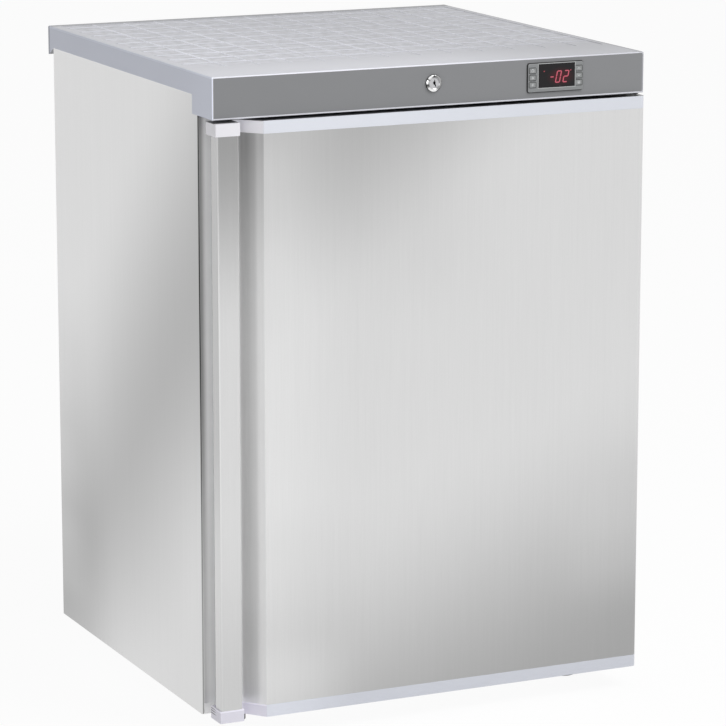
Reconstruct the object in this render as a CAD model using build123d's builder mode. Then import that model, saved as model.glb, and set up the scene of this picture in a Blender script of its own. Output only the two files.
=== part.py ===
"""Undercounter refrigerator with one solid door, built as an assembly of separate pieces.

Frame: +Z up, the front of the cabinet towards -Y, origin on the floor under the middle of
the whole object's box. Most places are measured from the front left corner of the
cabinet's underside: x to the right, y back from the fascia, z up.
"""

import os
from math import radians, sqrt, tan

from build123d import *

# ---------------------------------------------------------------- overall
overall_width = 600.0
overall_height = 850.0
worktop_depth = 583.0  # fascia to the rear lip
foot_height = 25.0  # cabinet underside above the floor, feet screwed fully in
handle_proud = 10.0  # handle ahead of the fascia
door_proud = 6.6  # door skin ahead of the fascia
weld_gap = 0.05  # between round wires that are spot welded where they cross
running_gap = 0.3  # between pieces that move past each other
pin_fit = 0.08  # radial, pin in bush and plug in barrel
body_height = overall_height - foot_height
overall_depth = worktop_depth + handle_proud

# ---------------------------------------------------------------- cabinet shell
sheet = 1.0  # stainless and galvanised panels
cabinet_front_y = 46.0  # sealing face, behind the fascia
cabinet_back_y = worktop_depth - 18.0
panel_flange = 17.0
rear_flange = 15.0
panel_bend = 2.0
trim_height = 16.0
trim_depth = 14.0
trim_wall = 2.5
trim_corner = 6.0
machine_front_y = cabinet_back_y - 170.0
machine_height = 200.0
pan_flange = 20.0
tray_flange = 30.0
tray_sheet = 1.5

# ---------------------------------------------------------------- worktop and fascia
worktop_wall = 3.0
rim_height = 28.7
cheek_height = 53.1
cheek_depth = 65.0
lip_drop = 39.0
lip_gap = 0.5  # rear lip behind the cabinet's back
worktop_edge = 2.0
grid_line = 2.8  # width of the raised lines on the top
grid_depth = 0.4
grid_pitch = (44.8, 45.4)
grid_first = (57.9, 133.4)  # middle of the first line in each direction
grid_side = 12.0  # from the grid to the left and right edges
grid_front_y = 88.0
grid_rear = 18.0  # from the grid to the rear edge
fascia_inset = 1.8
fascia_sheet = 1.0
rim_z = body_height - rim_height
cheek_z = body_height - cheek_height
hinge_plate = 2.0
front_top_z = cheek_z - hinge_plate  # top of the cabinet's front rail

# ---------------------------------------------------------------- liner
liner_wall = 2.5
wall_thickness = 43.5  # liner's inner face to the outside, at the sides
interior_floor_z = 49.0
interior_top_z = front_top_z - 18.9
interior_back_y = cabinet_back_y - 78.0
step_front_y = machine_front_y - 45.0
step_z = 245.0
liner_corner = 10.0
rib_first_z = 110.0
rib_pitch = 55.0
rib_headroom = 90.0  # above the top rib
rib_depth = 10.0
rib_height = 8.0
rib_front_y = 72.0
rib_setback = 20.0  # ribs stop short of the wall behind them
rib_count = int((interior_top_z - rib_headroom - rib_first_z) / rib_pitch) + 1

# ---------------------------------------------------------------- shelves
shelf_headroom = 3.0  # at least, under the fan's shroud
shelf_side_gap = 1.5
shelf_front_y = 78.0
shelf_back_y = interior_back_y - 17.0
shelf_rod = 3.0  # radius of the frame
shelf_wire = 1.6  # radius of the deck wires
shelf_corner = 14.0
shelf_wire_pitch = 30.0

# ---------------------------------------------------------------- door
door_gap = 3.5  # under the fascia
door_bottom_z = 4.4
door_rear_y = 32.0  # back of the skin, where the liner panel lies on it
door_left_x = 14.0
door_sheet = 0.8
door_edge = 6.5
crease_x = 65.5
pocket_y = 20.0
pocket_slope = 50.0  # of the sheet between the crease and the pocket's floor, in degrees
pocket_bend = 10.0
cap_height = 16.0
cap_wall = 2.5
cap_block_round = 1.0
pocket_wall = 2.0  # round the hollow that takes the lock's cam
handle_left_x = 1.5
handle_right_x = 31.0
handle_wall = 2.0
handle_side = 18.0  # depth of the handle's outer side
handle_corner = 3.0
block_right_x = 33.0
block_back_y = 21.0
door_return = 10.0
liner_panel = 2.0
liner_margin = 2.5
plug_inset_x = 60.0
plug_inset_z = 17.0
plug_depth = 22.0
plug_taper = 8.0
plug_corner = 14.0
gasket_inset = 32.0  # gasket centre line from the cabinet's side
gasket_offset = 8.5  # gasket centre line outside the opening's top and bottom
gasket_base = 14.0
gasket_neck = 6.0
gasket_head = 12.0
gasket_base_depth = 3.0
gasket_head_depth = 4.0
door_top_z = cheek_z - door_gap

# ---------------------------------------------------------------- hinges
hinge_x = overall_width - 13.0
hinge_y = 12.0
pin_radius = 4.0
bush_radius = 7.0
bush_collar = 9.0
bush_collar_height = 1.1
boss_radius = 9.5
bracket_width = 60.0
bracket_edge = 11.0  # plate's right edge beyond the axis
bracket_nose = 8.0
bracket_corner = 6.0
bottom_plate_z = 1.0
bottom_flange_top = 30.0
top_screw_offsets = (-38.0, -14.0, 4.0)  # from the hinge axis
bottom_screw_offsets = (-37.0, -10.0)
top_screw_setback = 7.0  # from the cheek's rear
bottom_screw_z = 22.0
screw_radius = 2.0
screw_head = 4.0
screw_length = 14.0

# ---------------------------------------------------------------- lock
lock_x = overall_width / 2
lock_drop = 24.0  # axis below the top
lock_collar = 11.0
lock_collar_proud = 3.0
lock_collar_round = 2.0
plug_recess = 0.6  # behind the collar's face
keyway = (1.5, 7.5, 8.0)  # width, height, depth
keyway_tilt = 8.0
barrel_radius = 9.5
barrel_length = 20.0
plug_radius = 6.5
lock_nut_af = 24.0
lock_nut_height = 4.0
cam_reach = 39.0
cam_width = 14.0
cam_sheet = 2.5
cam_tail = 7.0
cam_play = 1.5
lock_z = body_height - lock_drop

# ---------------------------------------------------------------- controller
controller_x = overall_width - 128.3
controller_drop = 7.2
controller_width = 79.0
controller_height = 36.5
controller_proud = 2.5
controller_body = (71.0, 29.0, 48.0)
controller_corner = 2.5
controller_round = 0.8
window_width = 52.3
window_height = 30.6
window_drop = 0.8
window_offset = 1.3  # to the right of the case's middle
window_recess = 1.4
lens_sheet = 1.2
key_width = 8.8
key_height = 6.3
key_pitch = 9.1
key_offset_x = 33.1
key_first_drop = 8.8
key_proud = 0.3
key_sheet = 1.6
key_corner = 0.9
key_well = 2.2

# ---------------------------------------------------------------- refrigeration
compressor_x = overall_width - 200.0
compressor_y = cabinet_back_y - 85.0
compressor_radii = (82.0, 66.0)
compressor_z = 16.0
compressor_top_z = 148.0
compressor_round = 28.0
compressor_plate = 2.5
compressor_seam = (3.0, 4.0)  # weld flange round the shell: how far out, how high
compressor_plate_corner = 8.0
discharge_rise = 44.0  # above the shell's underside
suction_rise = 84.0
stub_length = 10.0
relay_size = (46.0, 52.0, 46.0)
relay_inset = 22.0  # into the shell's side, which it is shaped round
relay_rise = 26.0  # above the discharge stub
relay_corner = 4.0
mount_spacing = (130.0, 90.0)
grommet_radius = 9.0
grommet_bore = 4.0
stub_radius = 4.0
evaporation_pan_size = (160.0, 116.0, 26.0)
evaporation_pan_corner = 12.0
evaporation_pan_wall = 2.0
drain_x = compressor_x - 55.0
drain_y = compressor_y - 6.0
drain_radius = 7.0
drain_bore = 5.0
evaporator_x = (75.0, overall_width - 75.0)
evaporator_z = (step_z + 45.0, interior_top_z - 161.0)
evaporator_y = interior_back_y - 8.0
evaporator_sheet = 1.5
channel_width = 8.0
channel_height = 2.0
channel_pitch = 50.0
channel_inset = (25.0, 20.0)  # from the sheet's sides and lower edge
channel_top_inset = 10.0
standoff_radius = 5.0
standoff_inset = (12.0, 8.0)
condenser_x = (60.0, overall_width - 60.0)
condenser_z = (240.0, rim_z - 28.3)
condenser_y = cabinet_back_y + 6.0
condenser_passes = 11
tube_radius = 2.4
pipe_bend = 11.0
wire_radius = 0.8
wire_count = 13
wire_overhang = 10.0
clip_size = (18.0, 16.0, 3.0)  # width, height, corner
clip_setback = 40.0
drier_place = (120.0, cabinet_back_y - 35.0, 60.0)
drier_radius = 9.0
drier_length = 90.0
drier_stub = 12.0
drier_rise = 24.0  # of the pipe above the drier
drier_reach = 84.0  # from the drier to the condenser's riser
pipe_seat = 2.0  # of a pipe inside the piece it is soldered to
discharge_x = overall_width - 40.0
discharge_lead = 35.0  # straight out of the stub
discharge_turn = 50.0  # behind the stub, where the pipe reaches the side
suction_place = (compressor_x - 120.0, cabinet_back_y - 40.0)
suction_entry = 20.0  # above the evaporator's lower edge
fan_x = overall_width / 2
fan_z = interior_top_z - 65.0
fan_hub = 15.0
fan_blades = 5
fan_blade_sheet = 1.6
shaft_seat = 16.0
fan_front_y = interior_back_y - 53.0
fan_hub_depth = 12.0
blade_root = (13.0, 20.0, 42.0)  # radius, chord, pitch in degrees
blade_tip = (50.0, 27.0, 24.0)
shroud_width = 150.0
shroud_height = 118.0
shroud_front_y = interior_back_y - 65.0
shroud_wall = 2.0
shroud_corner = 8.0
shroud_opening = 54.0
lowest_shelf_rib = int((step_z - rib_first_z) / rib_pitch) + 1
shelf_space = fan_z - shroud_height / 2 - shelf_headroom - rib_first_z
highest_shelf_rib = int(shelf_space / rib_pitch)
shelf_ribs = {
    "shelf_lower": lowest_shelf_rib,
    "shelf_middle": (lowest_shelf_rib + highest_shelf_rib) // 2,
    "shelf_upper": highest_shelf_rib,
}
grille_bar = 2.4
grille_rings = (18.4, 36.7)
grille_centre = 7.0
grille_spokes = 6
vent_slot = (40.0, 5.0)
vent_pitch = 14.0
vent_count = 7
motor_radius = 22.0
motor_front_y = interior_back_y - 31.0
motor_foot = 6.0
motor_foot_width = 57.0
motor_foot_corner = 5.0
shaft_end_play = 2.0
shaft_radius = 2.0
gland_x = 90.0
gland_z = 16.0
gland_bore = 4.0
gland_radius = 7.8
gland_flange = 11.0
gland_flange_depth = 3.0

# ---------------------------------------------------------------- feet
foot_front_y = 95.0
foot_rear_y = cabinet_back_y - 43.0
foot_inset_x = 58.0
foot_pad = 19.0
foot_pad_height = 9.0
foot_round = 3.0
foot_hex_af = 17.0
stud_radius = 5.0
stud_length = 34.0
stud_clearance = 0.3
insert_radius = 10.0
insert_height = 12.0

os.makedirs("parts", exist_ok=True)


# ---------------------------------------------------------------- frames and small helpers
left = -overall_width / 2
front = -overall_depth / 2 + handle_proud


def level(z):
    """Level plane at height z above the cabinet's underside: x right, y back."""
    return Plane(origin=(left, front, foot_height + z))


def section(x):
    """Upright plane facing right, x from the left side: x back, y up."""
    return Plane(origin=(left + x, front, foot_height), x_dir=(0, 1, 0), z_dir=(1, 0, 0))


def facing(y):
    """Upright plane facing the front, y behind the fascia: x right, y up."""
    return Plane(origin=(left, front + y, foot_height), x_dir=(1, 0, 0), z_dir=(0, -1, 0))


def point(x, y, z):
    """Place in the object's frame of a point measured from the front left corner."""
    return (left + x, front + y, foot_height + z)


def rectangle(x, y):
    """Face between two pairs of limits, in the sketch that is open."""
    with Locations(((x[0] + x[1]) / 2, (y[0] + y[1]) / 2)):
        Rectangle(x[1] - x[0], y[1] - y[0])


def slab(x, y, z, mode=Mode.ADD):
    """Block between three pairs of limits, in the part that is open."""
    with Locations(point(sum(x) / 2, sum(y) / 2, sum(z) / 2)):
        Box(x[1] - x[0], y[1] - y[0], z[1] - z[0], mode=mode)


def outline(points):
    """Closed straight-sided face, in the sketch that is open."""
    Polygon(*points, align=None)


def pipe(points, bend, radius):
    """Round bar or pipe: straight runs, and bends that turn about their own centres."""
    corners = [Vector(*point(*p)) for p in points]
    start = corners[0]
    with BuildPart() as run:
        for before, corner, after in zip(corners, corners[1:], corners[2:]):
            into = (corner - before).normalized()
            out = (after - corner).normalized()
            turn = into.get_angle(out)
            setback = bend * tan(radians(turn) / 2)
            bend_start = corner - into * setback
            bend_axis = into.cross(out).normalized()
            bend_centre = bend_start + bend_axis.cross(into) * bend
            with BuildSketch(Plane(origin=start, z_dir=into)):
                Circle(radius)
            extrude(amount=(bend_start - start).length)
            with BuildSketch(Plane(origin=bend_start, z_dir=into)):
                Circle(radius)
            revolve(axis=Axis(bend_centre, bend_axis), revolution_arc=turn)
            start = corner + out * setback
        with BuildSketch(Plane(origin=start, z_dir=out)):
            Circle(radius)
        extrude(amount=(corners[-1] - start).length)
    return run.part


def hexagon(across_flats):
    """Hexagonal face, in the sketch that is open."""
    RegularPolygon(across_flats / 2, 6, major_radius=False)


def save(name, piece):
    """Label a finished piece and write it to its own file."""
    piece.label = name
    export_step(piece, f"parts/{name}.step")


inner_x = (sheet, overall_width - sheet)
liner_x = (wall_thickness, overall_width - wall_thickness)
feet = {
    "foot_front_left": (foot_inset_x, foot_front_y),
    "foot_front_right": (overall_width - foot_inset_x, foot_front_y),
    "foot_rear_left": (foot_inset_x, foot_rear_y),
    "foot_rear_right": (overall_width - foot_inset_x, foot_rear_y),
}
foot_places = list(feet.values())
top_screws = [(hinge_x + x, cheek_depth - top_screw_setback) for x in top_screw_offsets]
bottom_screws = [(hinge_x + x, bottom_screw_z) for x in bottom_screw_offsets]
compressor_mounts = [
    (compressor_x + i * mount_spacing[0] / 2, compressor_y + j * mount_spacing[1] / 2)
    for i in (-1, 1)
    for j in (-1, 1)
]

# ================================================================ cabinet shell

# Stainless side panel, folded round the front and the back of the foam.
with BuildPart() as side_panel_left:
    with BuildSketch(level(0)) as fold:
        outline(
            [
                (panel_flange, cabinet_front_y),
                (0, cabinet_front_y),
                (0, cabinet_back_y),
                (rear_flange, cabinet_back_y),
                (rear_flange, cabinet_back_y - sheet),
                (sheet, cabinet_back_y - sheet),
                (sheet, cabinet_front_y + sheet),
                (panel_flange, cabinet_front_y + sheet),
            ]
        )
        corners = fold.vertices().sort_by(Axis.X)
        fillet(corners[:2], radius=panel_bend)
        fillet(corners[2:4], radius=panel_bend - sheet)
    extrude(amount=rim_z)
    with BuildSketch(section(0)) as silhouette:
        outline(
            [
                (cabinet_front_y, 0),
                (cabinet_back_y, 0),
                (cabinet_back_y, rim_z),
                (cheek_depth, rim_z),
                (cheek_depth, cheek_z),
                (cabinet_front_y, cheek_z),
            ]
        )
        fillet(silhouette.vertices().sort_by(Axis.X)[:2].sort_by(Axis.Y)[0], radius=trim_corner)
    extrude(amount=panel_flange, mode=Mode.INTERSECT)
    slab(
        (sheet, panel_flange),
        (cabinet_front_y, cabinet_front_y + panel_bend),
        (0, trim_height),
        mode=Mode.SUBTRACT,
    )
    slab(
        (sheet, panel_flange),
        (cabinet_front_y, cabinet_front_y + panel_bend),
        (front_top_z, cheek_z),
        mode=Mode.SUBTRACT,
    )
save("side_panel_left", side_panel_left.part)

with BuildPart() as side_panel_right:
    add(side_panel_left.part.mirror(Plane.YZ))
save("side_panel_right", side_panel_right.part)

# White moulding along the bottom front edge, between the side panels.
with BuildPart() as bottom_trim:
    with BuildSketch(section(sheet)) as lower_edge:
        outline(
            [
                (cabinet_front_y, 0),
                (cabinet_front_y + trim_depth, 0),
                (cabinet_front_y + trim_depth, trim_wall),
                (cabinet_front_y + trim_wall, trim_wall),
                (cabinet_front_y + trim_wall, trim_height),
                (cabinet_front_y, trim_height),
            ]
        )
        front_corner = lower_edge.vertices().group_by(Axis.X)[0].sort_by(Axis.Y)[0]
        fillet(front_corner, radius=trim_corner)
    extrude(amount=overall_width - 2 * sheet)
save("bottom_trim", bottom_trim.part)

# Galvanised floor of the foamed part, with a folded front and the front feet's holes.
pan_front_y = cabinet_front_y + trim_depth
with BuildPart() as base_pan:
    with BuildSketch(section(sheet)):
        outline(
            [
                (pan_front_y, 0),
                (machine_front_y - sheet, 0),
                (machine_front_y - sheet, sheet),
                (pan_front_y + sheet, sheet),
                (pan_front_y + sheet, pan_flange),
                (pan_front_y, pan_flange),
            ]
        )
    extrude(amount=overall_width - 2 * sheet)
    with BuildSketch(level(0)):
        with Locations(*foot_places[:2]):
            Circle(stud_radius + stud_clearance)
    extrude(amount=sheet, mode=Mode.SUBTRACT)
save("base_pan", base_pan.part)

# Folded panel that keeps the foam out of the machine compartment.
with BuildPart() as compartment_panel:
    with BuildSketch(section(sheet)):
        outline(
            [
                (machine_front_y - sheet, 0),
                (machine_front_y, 0),
                (machine_front_y, machine_height - sheet),
                (cabinet_back_y - sheet, machine_height - sheet),
                (cabinet_back_y - sheet, machine_height),
                (machine_front_y - sheet, machine_height),
            ]
        )
    extrude(amount=overall_width - 2 * sheet)
    with BuildSketch(level(machine_height - sheet)):
        with Locations((drain_x, drain_y)):
            Circle(drain_radius)
        with Locations(suction_place):
            Circle(tube_radius + 1)
    extrude(amount=sheet, mode=Mode.SUBTRACT)
save("compartment_panel", compartment_panel.part)

# Tray that carries the compressor and the rear feet.
with BuildPart() as compressor_tray:
    with BuildSketch(section(sheet)):
        outline(
            [
                (machine_front_y, 0),
                (cabinet_back_y - sheet, 0),
                (cabinet_back_y - sheet, tray_flange),
                (cabinet_back_y - sheet - tray_sheet, tray_flange),
                (cabinet_back_y - sheet - tray_sheet, tray_sheet),
                (machine_front_y, tray_sheet),
            ]
        )
    extrude(amount=overall_width - 2 * sheet)
    with BuildSketch(level(0)):
        with Locations(*foot_places[2:]):
            Circle(stud_radius + stud_clearance)
    extrude(amount=tray_sheet, mode=Mode.SUBTRACT)
    with BuildSketch(facing(cabinet_back_y)):
        with Locations((gland_x, gland_z)):
            Circle(gland_radius)
    extrude(amount=tray_sheet + 2 * sheet, mode=Mode.SUBTRACT)
save("compressor_tray", compressor_tray.part)

# Plain rear sheet above the machine compartment.
with BuildPart() as back_panel:
    with BuildSketch(facing(cabinet_back_y - sheet)):
        rectangle(inner_x, (machine_height, rim_z - sheet))
    extrude(amount=sheet)
save("back_panel", back_panel.part)

# Roof of the foam, stepped down at the front to carry the top hinge.
rail_back_y = cabinet_front_y + liner_wall
with BuildPart() as roof_panel:
    with BuildSketch(section(sheet)):
        outline(
            [
                (rail_back_y, front_top_z),
                (rail_back_y, front_top_z - sheet),
                (cheek_depth + sheet, front_top_z - sheet),
                (cheek_depth + sheet, rim_z - sheet),
                (cabinet_back_y - sheet, rim_z - sheet),
                (cabinet_back_y - sheet, rim_z),
                (cheek_depth, rim_z),
                (cheek_depth, front_top_z),
            ]
        )
    extrude(amount=overall_width - 2 * sheet)
    with BuildSketch(level(front_top_z)):
        with Locations(*top_screws):
            Circle(screw_radius + pin_fit)
    extrude(amount=-sheet, mode=Mode.SUBTRACT)
save("roof_panel", roof_panel.part)

# ================================================================ inner liner

cavity_profile = [
    (cabinet_front_y, interior_floor_z),
    (step_front_y, interior_floor_z),
    (step_front_y, step_z),
    (interior_back_y, step_z),
    (interior_back_y, interior_top_z),
    (cabinet_front_y, interior_top_z),
]
w = liner_wall
liner_profile = [
    (cabinet_front_y, interior_floor_z - w),
    (step_front_y + w, interior_floor_z - w),
    (step_front_y + w, step_z - w),
    (interior_back_y + w, step_z - w),
    (interior_back_y + w, interior_top_z + w),
    (cabinet_front_y, interior_top_z + w),
]

# The space inside the liner.
with BuildPart() as liner_cavity:
    with BuildSketch(section(liner_x[0])):
        outline(cavity_profile)
    extrude(amount=liner_x[1] - liner_x[0])
    fillet(liner_cavity.edges().filter_by(Axis.Z).group_by(Axis.Y)[-1], radius=liner_corner)

# Formed plastic liner with a sealing flange, a step over the compressor and shelf ribs.
with BuildPart() as inner_liner:
    with BuildSketch(section(liner_x[0] - w)):
        outline(liner_profile)
    extrude(amount=liner_x[1] - liner_x[0] + 2 * w)
    back_edges = inner_liner.edges().filter_by(Axis.Z).group_by(Axis.Y)[-1]
    fillet(back_edges, radius=liner_corner + w)
    with BuildSketch(facing(cabinet_front_y)):
        rectangle((panel_flange, overall_width - panel_flange), (trim_height, front_top_z))
        with Locations(*bottom_screws):
            Circle(screw_radius + pin_fit, mode=Mode.SUBTRACT)
    extrude(amount=-w)
    add(liner_cavity.part, mode=Mode.SUBTRACT)
    for index in range(rib_count):
        rib_z = rib_first_z + index * rib_pitch
        wall_y = interior_back_y if rib_z > step_z else step_front_y
        for side_x in liner_x:
            inward = rib_depth if side_x == liner_x[0] else -rib_depth
            with BuildSketch(section(side_x)):
                rectangle((rib_front_y, wall_y - rib_setback), (rib_z - rib_height, rib_z))
            extrude(amount=inward)
    with BuildSketch(level(step_z)):
        with Locations((drain_x, drain_y)):
            Circle(drain_bore)
    extrude(amount=-w, mode=Mode.SUBTRACT)
    with BuildSketch(facing(interior_back_y)):
        with Locations((suction_place[0], evaporator_z[0] + suction_entry)):
            Circle(tube_radius + 1)
    extrude(amount=-w, mode=Mode.SUBTRACT)
save("inner_liner", inner_liner.part)

# ================================================================ worktop and fascia

# Moulded top: a front cheek for the fascia, a sloping rear lip, a grid of raised lines.
with BuildPart() as worktop:
    t = worktop_wall
    lip_y = cabinet_back_y + lip_gap
    lip_z = body_height - lip_drop
    slant = (rim_z - lip_z) / (worktop_depth - lip_y)
    slant_rise = t * sqrt(1 + slant**2)
    with BuildSketch(section(0)):
        outline(
            [
                (0, cheek_z),
                (cheek_depth, cheek_z),
                (cheek_depth, rim_z),
                (lip_y, rim_z),
                (worktop_depth, lip_z),
                (worktop_depth, body_height),
                (0, body_height),
            ]
        )
    extrude(amount=overall_width)
    top_face = worktop.faces().sort_by(Axis.Z)[-1]
    fillet(top_face.edges(), radius=worktop_edge)
    with BuildSketch(section(t)):
        outline(
            [
                (fascia_sheet + t, cheek_z + t),
                (cheek_depth - t, cheek_z + t),
                (cheek_depth - t, rim_z),
                (lip_y, rim_z),
                (lip_y, rim_z + slant_rise),
                (worktop_depth - t, rim_z + slant_rise - slant * (worktop_depth - t - lip_y)),
                (worktop_depth - t, body_height - t),
                (fascia_sheet + t, body_height - t),
            ]
        )
    extrude(amount=overall_width - 2 * t, mode=Mode.SUBTRACT)
    with BuildSketch(facing(0)):
        rectangle(
            (fascia_inset, overall_width - fascia_inset),
            (cheek_z + fascia_inset, body_height - fascia_inset),
        )
    extrude(amount=-fascia_sheet, mode=Mode.SUBTRACT)
    with BuildSketch(facing(0)):
        with Locations((lock_x, lock_z)):
            Circle(barrel_radius + pin_fit)
        with Locations((controller_x, body_height - controller_drop - controller_height / 2)):
            Rectangle(controller_body[0] + 2 * pin_fit, controller_body[1] + 2 * pin_fit)
    extrude(amount=-fascia_sheet - t, mode=Mode.SUBTRACT)
    grid_x = (grid_side, overall_width - grid_side)
    grid_y = (grid_front_y, worktop_depth - grid_rear)
    upright_lines = int((grid_x[1] - grid_line - grid_first[0]) / grid_pitch[0]) + 1
    cross_lines = int((grid_y[1] - grid_line - grid_first[1]) / grid_pitch[1]) + 1
    with BuildSketch(level(body_height)):
        rectangle(grid_x, grid_y)
        for index in range(upright_lines):
            with Locations((grid_first[0] + index * grid_pitch[0], (grid_y[0] + grid_y[1]) / 2)):
                Rectangle(grid_line, grid_y[1] - grid_y[0], mode=Mode.SUBTRACT)
        for index in range(cross_lines):
            with Locations(((grid_x[0] + grid_x[1]) / 2, grid_first[1] + index * grid_pitch[1])):
                Rectangle(grid_x[1] - grid_x[0], grid_line, mode=Mode.SUBTRACT)
    extrude(amount=-grid_depth, mode=Mode.SUBTRACT)
    cam_y = (barrel_length + running_gap, barrel_length + running_gap + cam_sheet)
    cam_slot_y = (cam_y[0] - cam_play, cam_y[1] + cam_play)
    wall_reach = sqrt(cam_reach**2 - (lock_z - cheek_z - t) ** 2)
    with BuildSketch(level(cheek_z)):
        rectangle(
            (lock_x - wall_reach - cam_play, lock_x + cam_width / 2 + cam_play),
            cam_slot_y,
        )
    extrude(amount=t, mode=Mode.SUBTRACT)
save("worktop", worktop.part)

with BuildPart() as fascia_panel:
    with BuildSketch(facing(0)):
        rectangle(
            (fascia_inset, overall_width - fascia_inset),
            (cheek_z + fascia_inset, body_height - fascia_inset),
        )
        with Locations((lock_x, lock_z)):
            Circle(barrel_radius + pin_fit, mode=Mode.SUBTRACT)
        with Locations((controller_x, body_height - controller_drop - controller_height / 2)):
            Rectangle(
                controller_body[0] + 2 * pin_fit,
                controller_body[1] + 2 * pin_fit,
                mode=Mode.SUBTRACT,
            )
    extrude(amount=-fascia_sheet)
save("fascia_panel", fascia_panel.part)

# ================================================================ controller

controller_z = body_height - controller_drop - controller_height / 2
window_z = controller_z + controller_height / 2 - window_drop - window_height / 2
key_rows = [
    controller_z + controller_height / 2 - key_first_drop - row * key_pitch for row in range(3)
]
key_places = {
    f"key_{side_name}_{row_name}": (controller_x + sign * key_offset_x, key_rows[row])
    for side_name, sign in (("left", -1), ("right", 1))
    for row, row_name in enumerate(("top", "middle", "bottom"))
}

with BuildPart() as controller_case:
    with BuildSketch(facing(0)):
        with Locations((controller_x, controller_z)):
            RectangleRounded(controller_width, controller_height, controller_corner)
    extrude(amount=controller_proud)
    case_front = controller_case.faces().sort_by(Axis.Y)[0]
    fillet(case_front.outer_wire().edges(), radius=controller_round)
    with BuildSketch(facing(0)):
        with Locations((controller_x, controller_z)):
            Rectangle(controller_body[0], controller_body[1])
    extrude(amount=-controller_body[2])
    with BuildSketch(facing(-controller_proud)):
        with Locations((controller_x + window_offset, window_z)):
            Rectangle(window_width, window_height)
    extrude(amount=-window_recess, mode=Mode.SUBTRACT)
    with BuildSketch(facing(-controller_proud)):
        with Locations(*key_places.values()):
            RectangleRounded(
                key_width + 2 * running_gap,
                key_height + 2 * running_gap,
                key_corner + running_gap,
            )
    extrude(amount=-key_well, mode=Mode.SUBTRACT)
save("controller_case", controller_case.part)

with BuildPart() as controller_lens:
    with BuildSketch(facing(-controller_proud + window_recess)):
        with Locations((controller_x + window_offset, window_z)):
            Rectangle(window_width, window_height)
    extrude(amount=lens_sheet)
save("controller_lens", controller_lens.part)

for key_name, key_place in key_places.items():
    with BuildPart() as key:
        with BuildSketch(facing(-controller_proud - key_proud)):
            with Locations(key_place):
                RectangleRounded(key_width, key_height, key_corner)
        extrude(amount=-key_sheet)
    save(key_name, key.part)

# ================================================================ lock

with BuildPart() as lock_housing:
    with BuildSketch(facing(0)):
        with Locations((lock_x, lock_z)):
            Circle(lock_collar)
    extrude(amount=lock_collar_proud)
    fillet(lock_housing.faces().sort_by(Axis.Y)[0].edges(), radius=lock_collar_round)
    with BuildSketch(facing(0)):
        with Locations((lock_x, lock_z)):
            Circle(barrel_radius)
    extrude(amount=-barrel_length)
    with BuildSketch(facing(-lock_collar_proud)):
        with Locations((lock_x, lock_z)):
            Circle(plug_radius)
    extrude(amount=-lock_collar_proud - barrel_length, mode=Mode.SUBTRACT)
save("lock_housing", lock_housing.part)

with BuildPart() as lock_nut:
    with BuildSketch(facing(fascia_sheet + worktop_wall)):
        with Locations((lock_x, lock_z)):
            hexagon(lock_nut_af)
            Circle(barrel_radius + pin_fit, mode=Mode.SUBTRACT)
    extrude(amount=-lock_nut_height)
save("lock_nut", lock_nut.part)

with BuildPart() as lock_plug:
    with BuildSketch(facing(-lock_collar_proud + plug_recess)):
        with Locations((lock_x, lock_z)):
            Circle(plug_radius - pin_fit)
    extrude(amount=-(lock_collar_proud - plug_recess + barrel_length))
    with BuildSketch(facing(barrel_length)):
        with Locations((lock_x, lock_z)):
            Rectangle(cam_tail, cam_tail)
    extrude(amount=-(running_gap + cam_sheet))
    with BuildSketch(facing(-lock_collar_proud)):
        with Locations(Location((lock_x, lock_z), keyway_tilt)):
            Rectangle(keyway[0], keyway[1])
    extrude(amount=-keyway[2], mode=Mode.SUBTRACT)
save("lock_plug", lock_plug.part)

with BuildPart() as lock_cam:
    with BuildSketch(facing(cam_y[0])):
        with Locations((lock_x - (cam_reach - cam_width / 2) / 2, lock_z)):
            SlotCenterToCenter(cam_reach - cam_width / 2, cam_width)
        with Locations((lock_x, lock_z)):
            Rectangle(cam_tail, cam_tail, mode=Mode.SUBTRACT)
    extrude(amount=-cam_sheet)
save("lock_cam", lock_cam.part)

# ================================================================ hinges

bracket_x = (hinge_x - bracket_width + bracket_edge, hinge_x + bracket_edge)

with BuildPart() as hinge_bracket_top:
    with BuildSketch(level(front_top_z)) as plate:
        rectangle(bracket_x, (hinge_y - bracket_nose, cheek_depth - 1))
        fillet(plate.vertices().group_by(Axis.Y)[0], radius=bracket_corner)
    extrude(amount=hinge_plate)
    with BuildSketch(level(front_top_z)):
        with Locations((hinge_x, hinge_y)):
            Circle(pin_radius)
    extrude(amount=-(front_top_z - door_top_z) - cap_height + cap_wall)
    with Locations(*[point(x, y, cheek_z) for x, y in top_screws]):
        CounterSinkHole(screw_radius + pin_fit, screw_head + pin_fit, depth=hinge_plate)
save("hinge_bracket_top", hinge_bracket_top.part)

with BuildPart() as hinge_bracket_bottom:
    with BuildSketch(level(bottom_plate_z)) as plate:
        rectangle(bracket_x, (hinge_y - bracket_nose, cabinet_front_y))
        fillet(plate.vertices().group_by(Axis.Y)[0], radius=bracket_corner)
    extrude(amount=hinge_plate)
    slab(
        bracket_x,
        (cabinet_front_y - hinge_plate, cabinet_front_y),
        (bottom_plate_z, bottom_flange_top),
    )
    with BuildSketch(level(bottom_plate_z + hinge_plate)):
        with Locations((hinge_x, hinge_y)):
            Circle(pin_radius)
    extrude(amount=door_bottom_z - bottom_plate_z - hinge_plate + cap_height - cap_wall)
    with BuildSketch(facing(cabinet_front_y)):
        with Locations(*bottom_screws):
            Circle(screw_radius + pin_fit)
    extrude(amount=hinge_plate, mode=Mode.SUBTRACT)
save("hinge_bracket_bottom", hinge_bracket_bottom.part)

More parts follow.
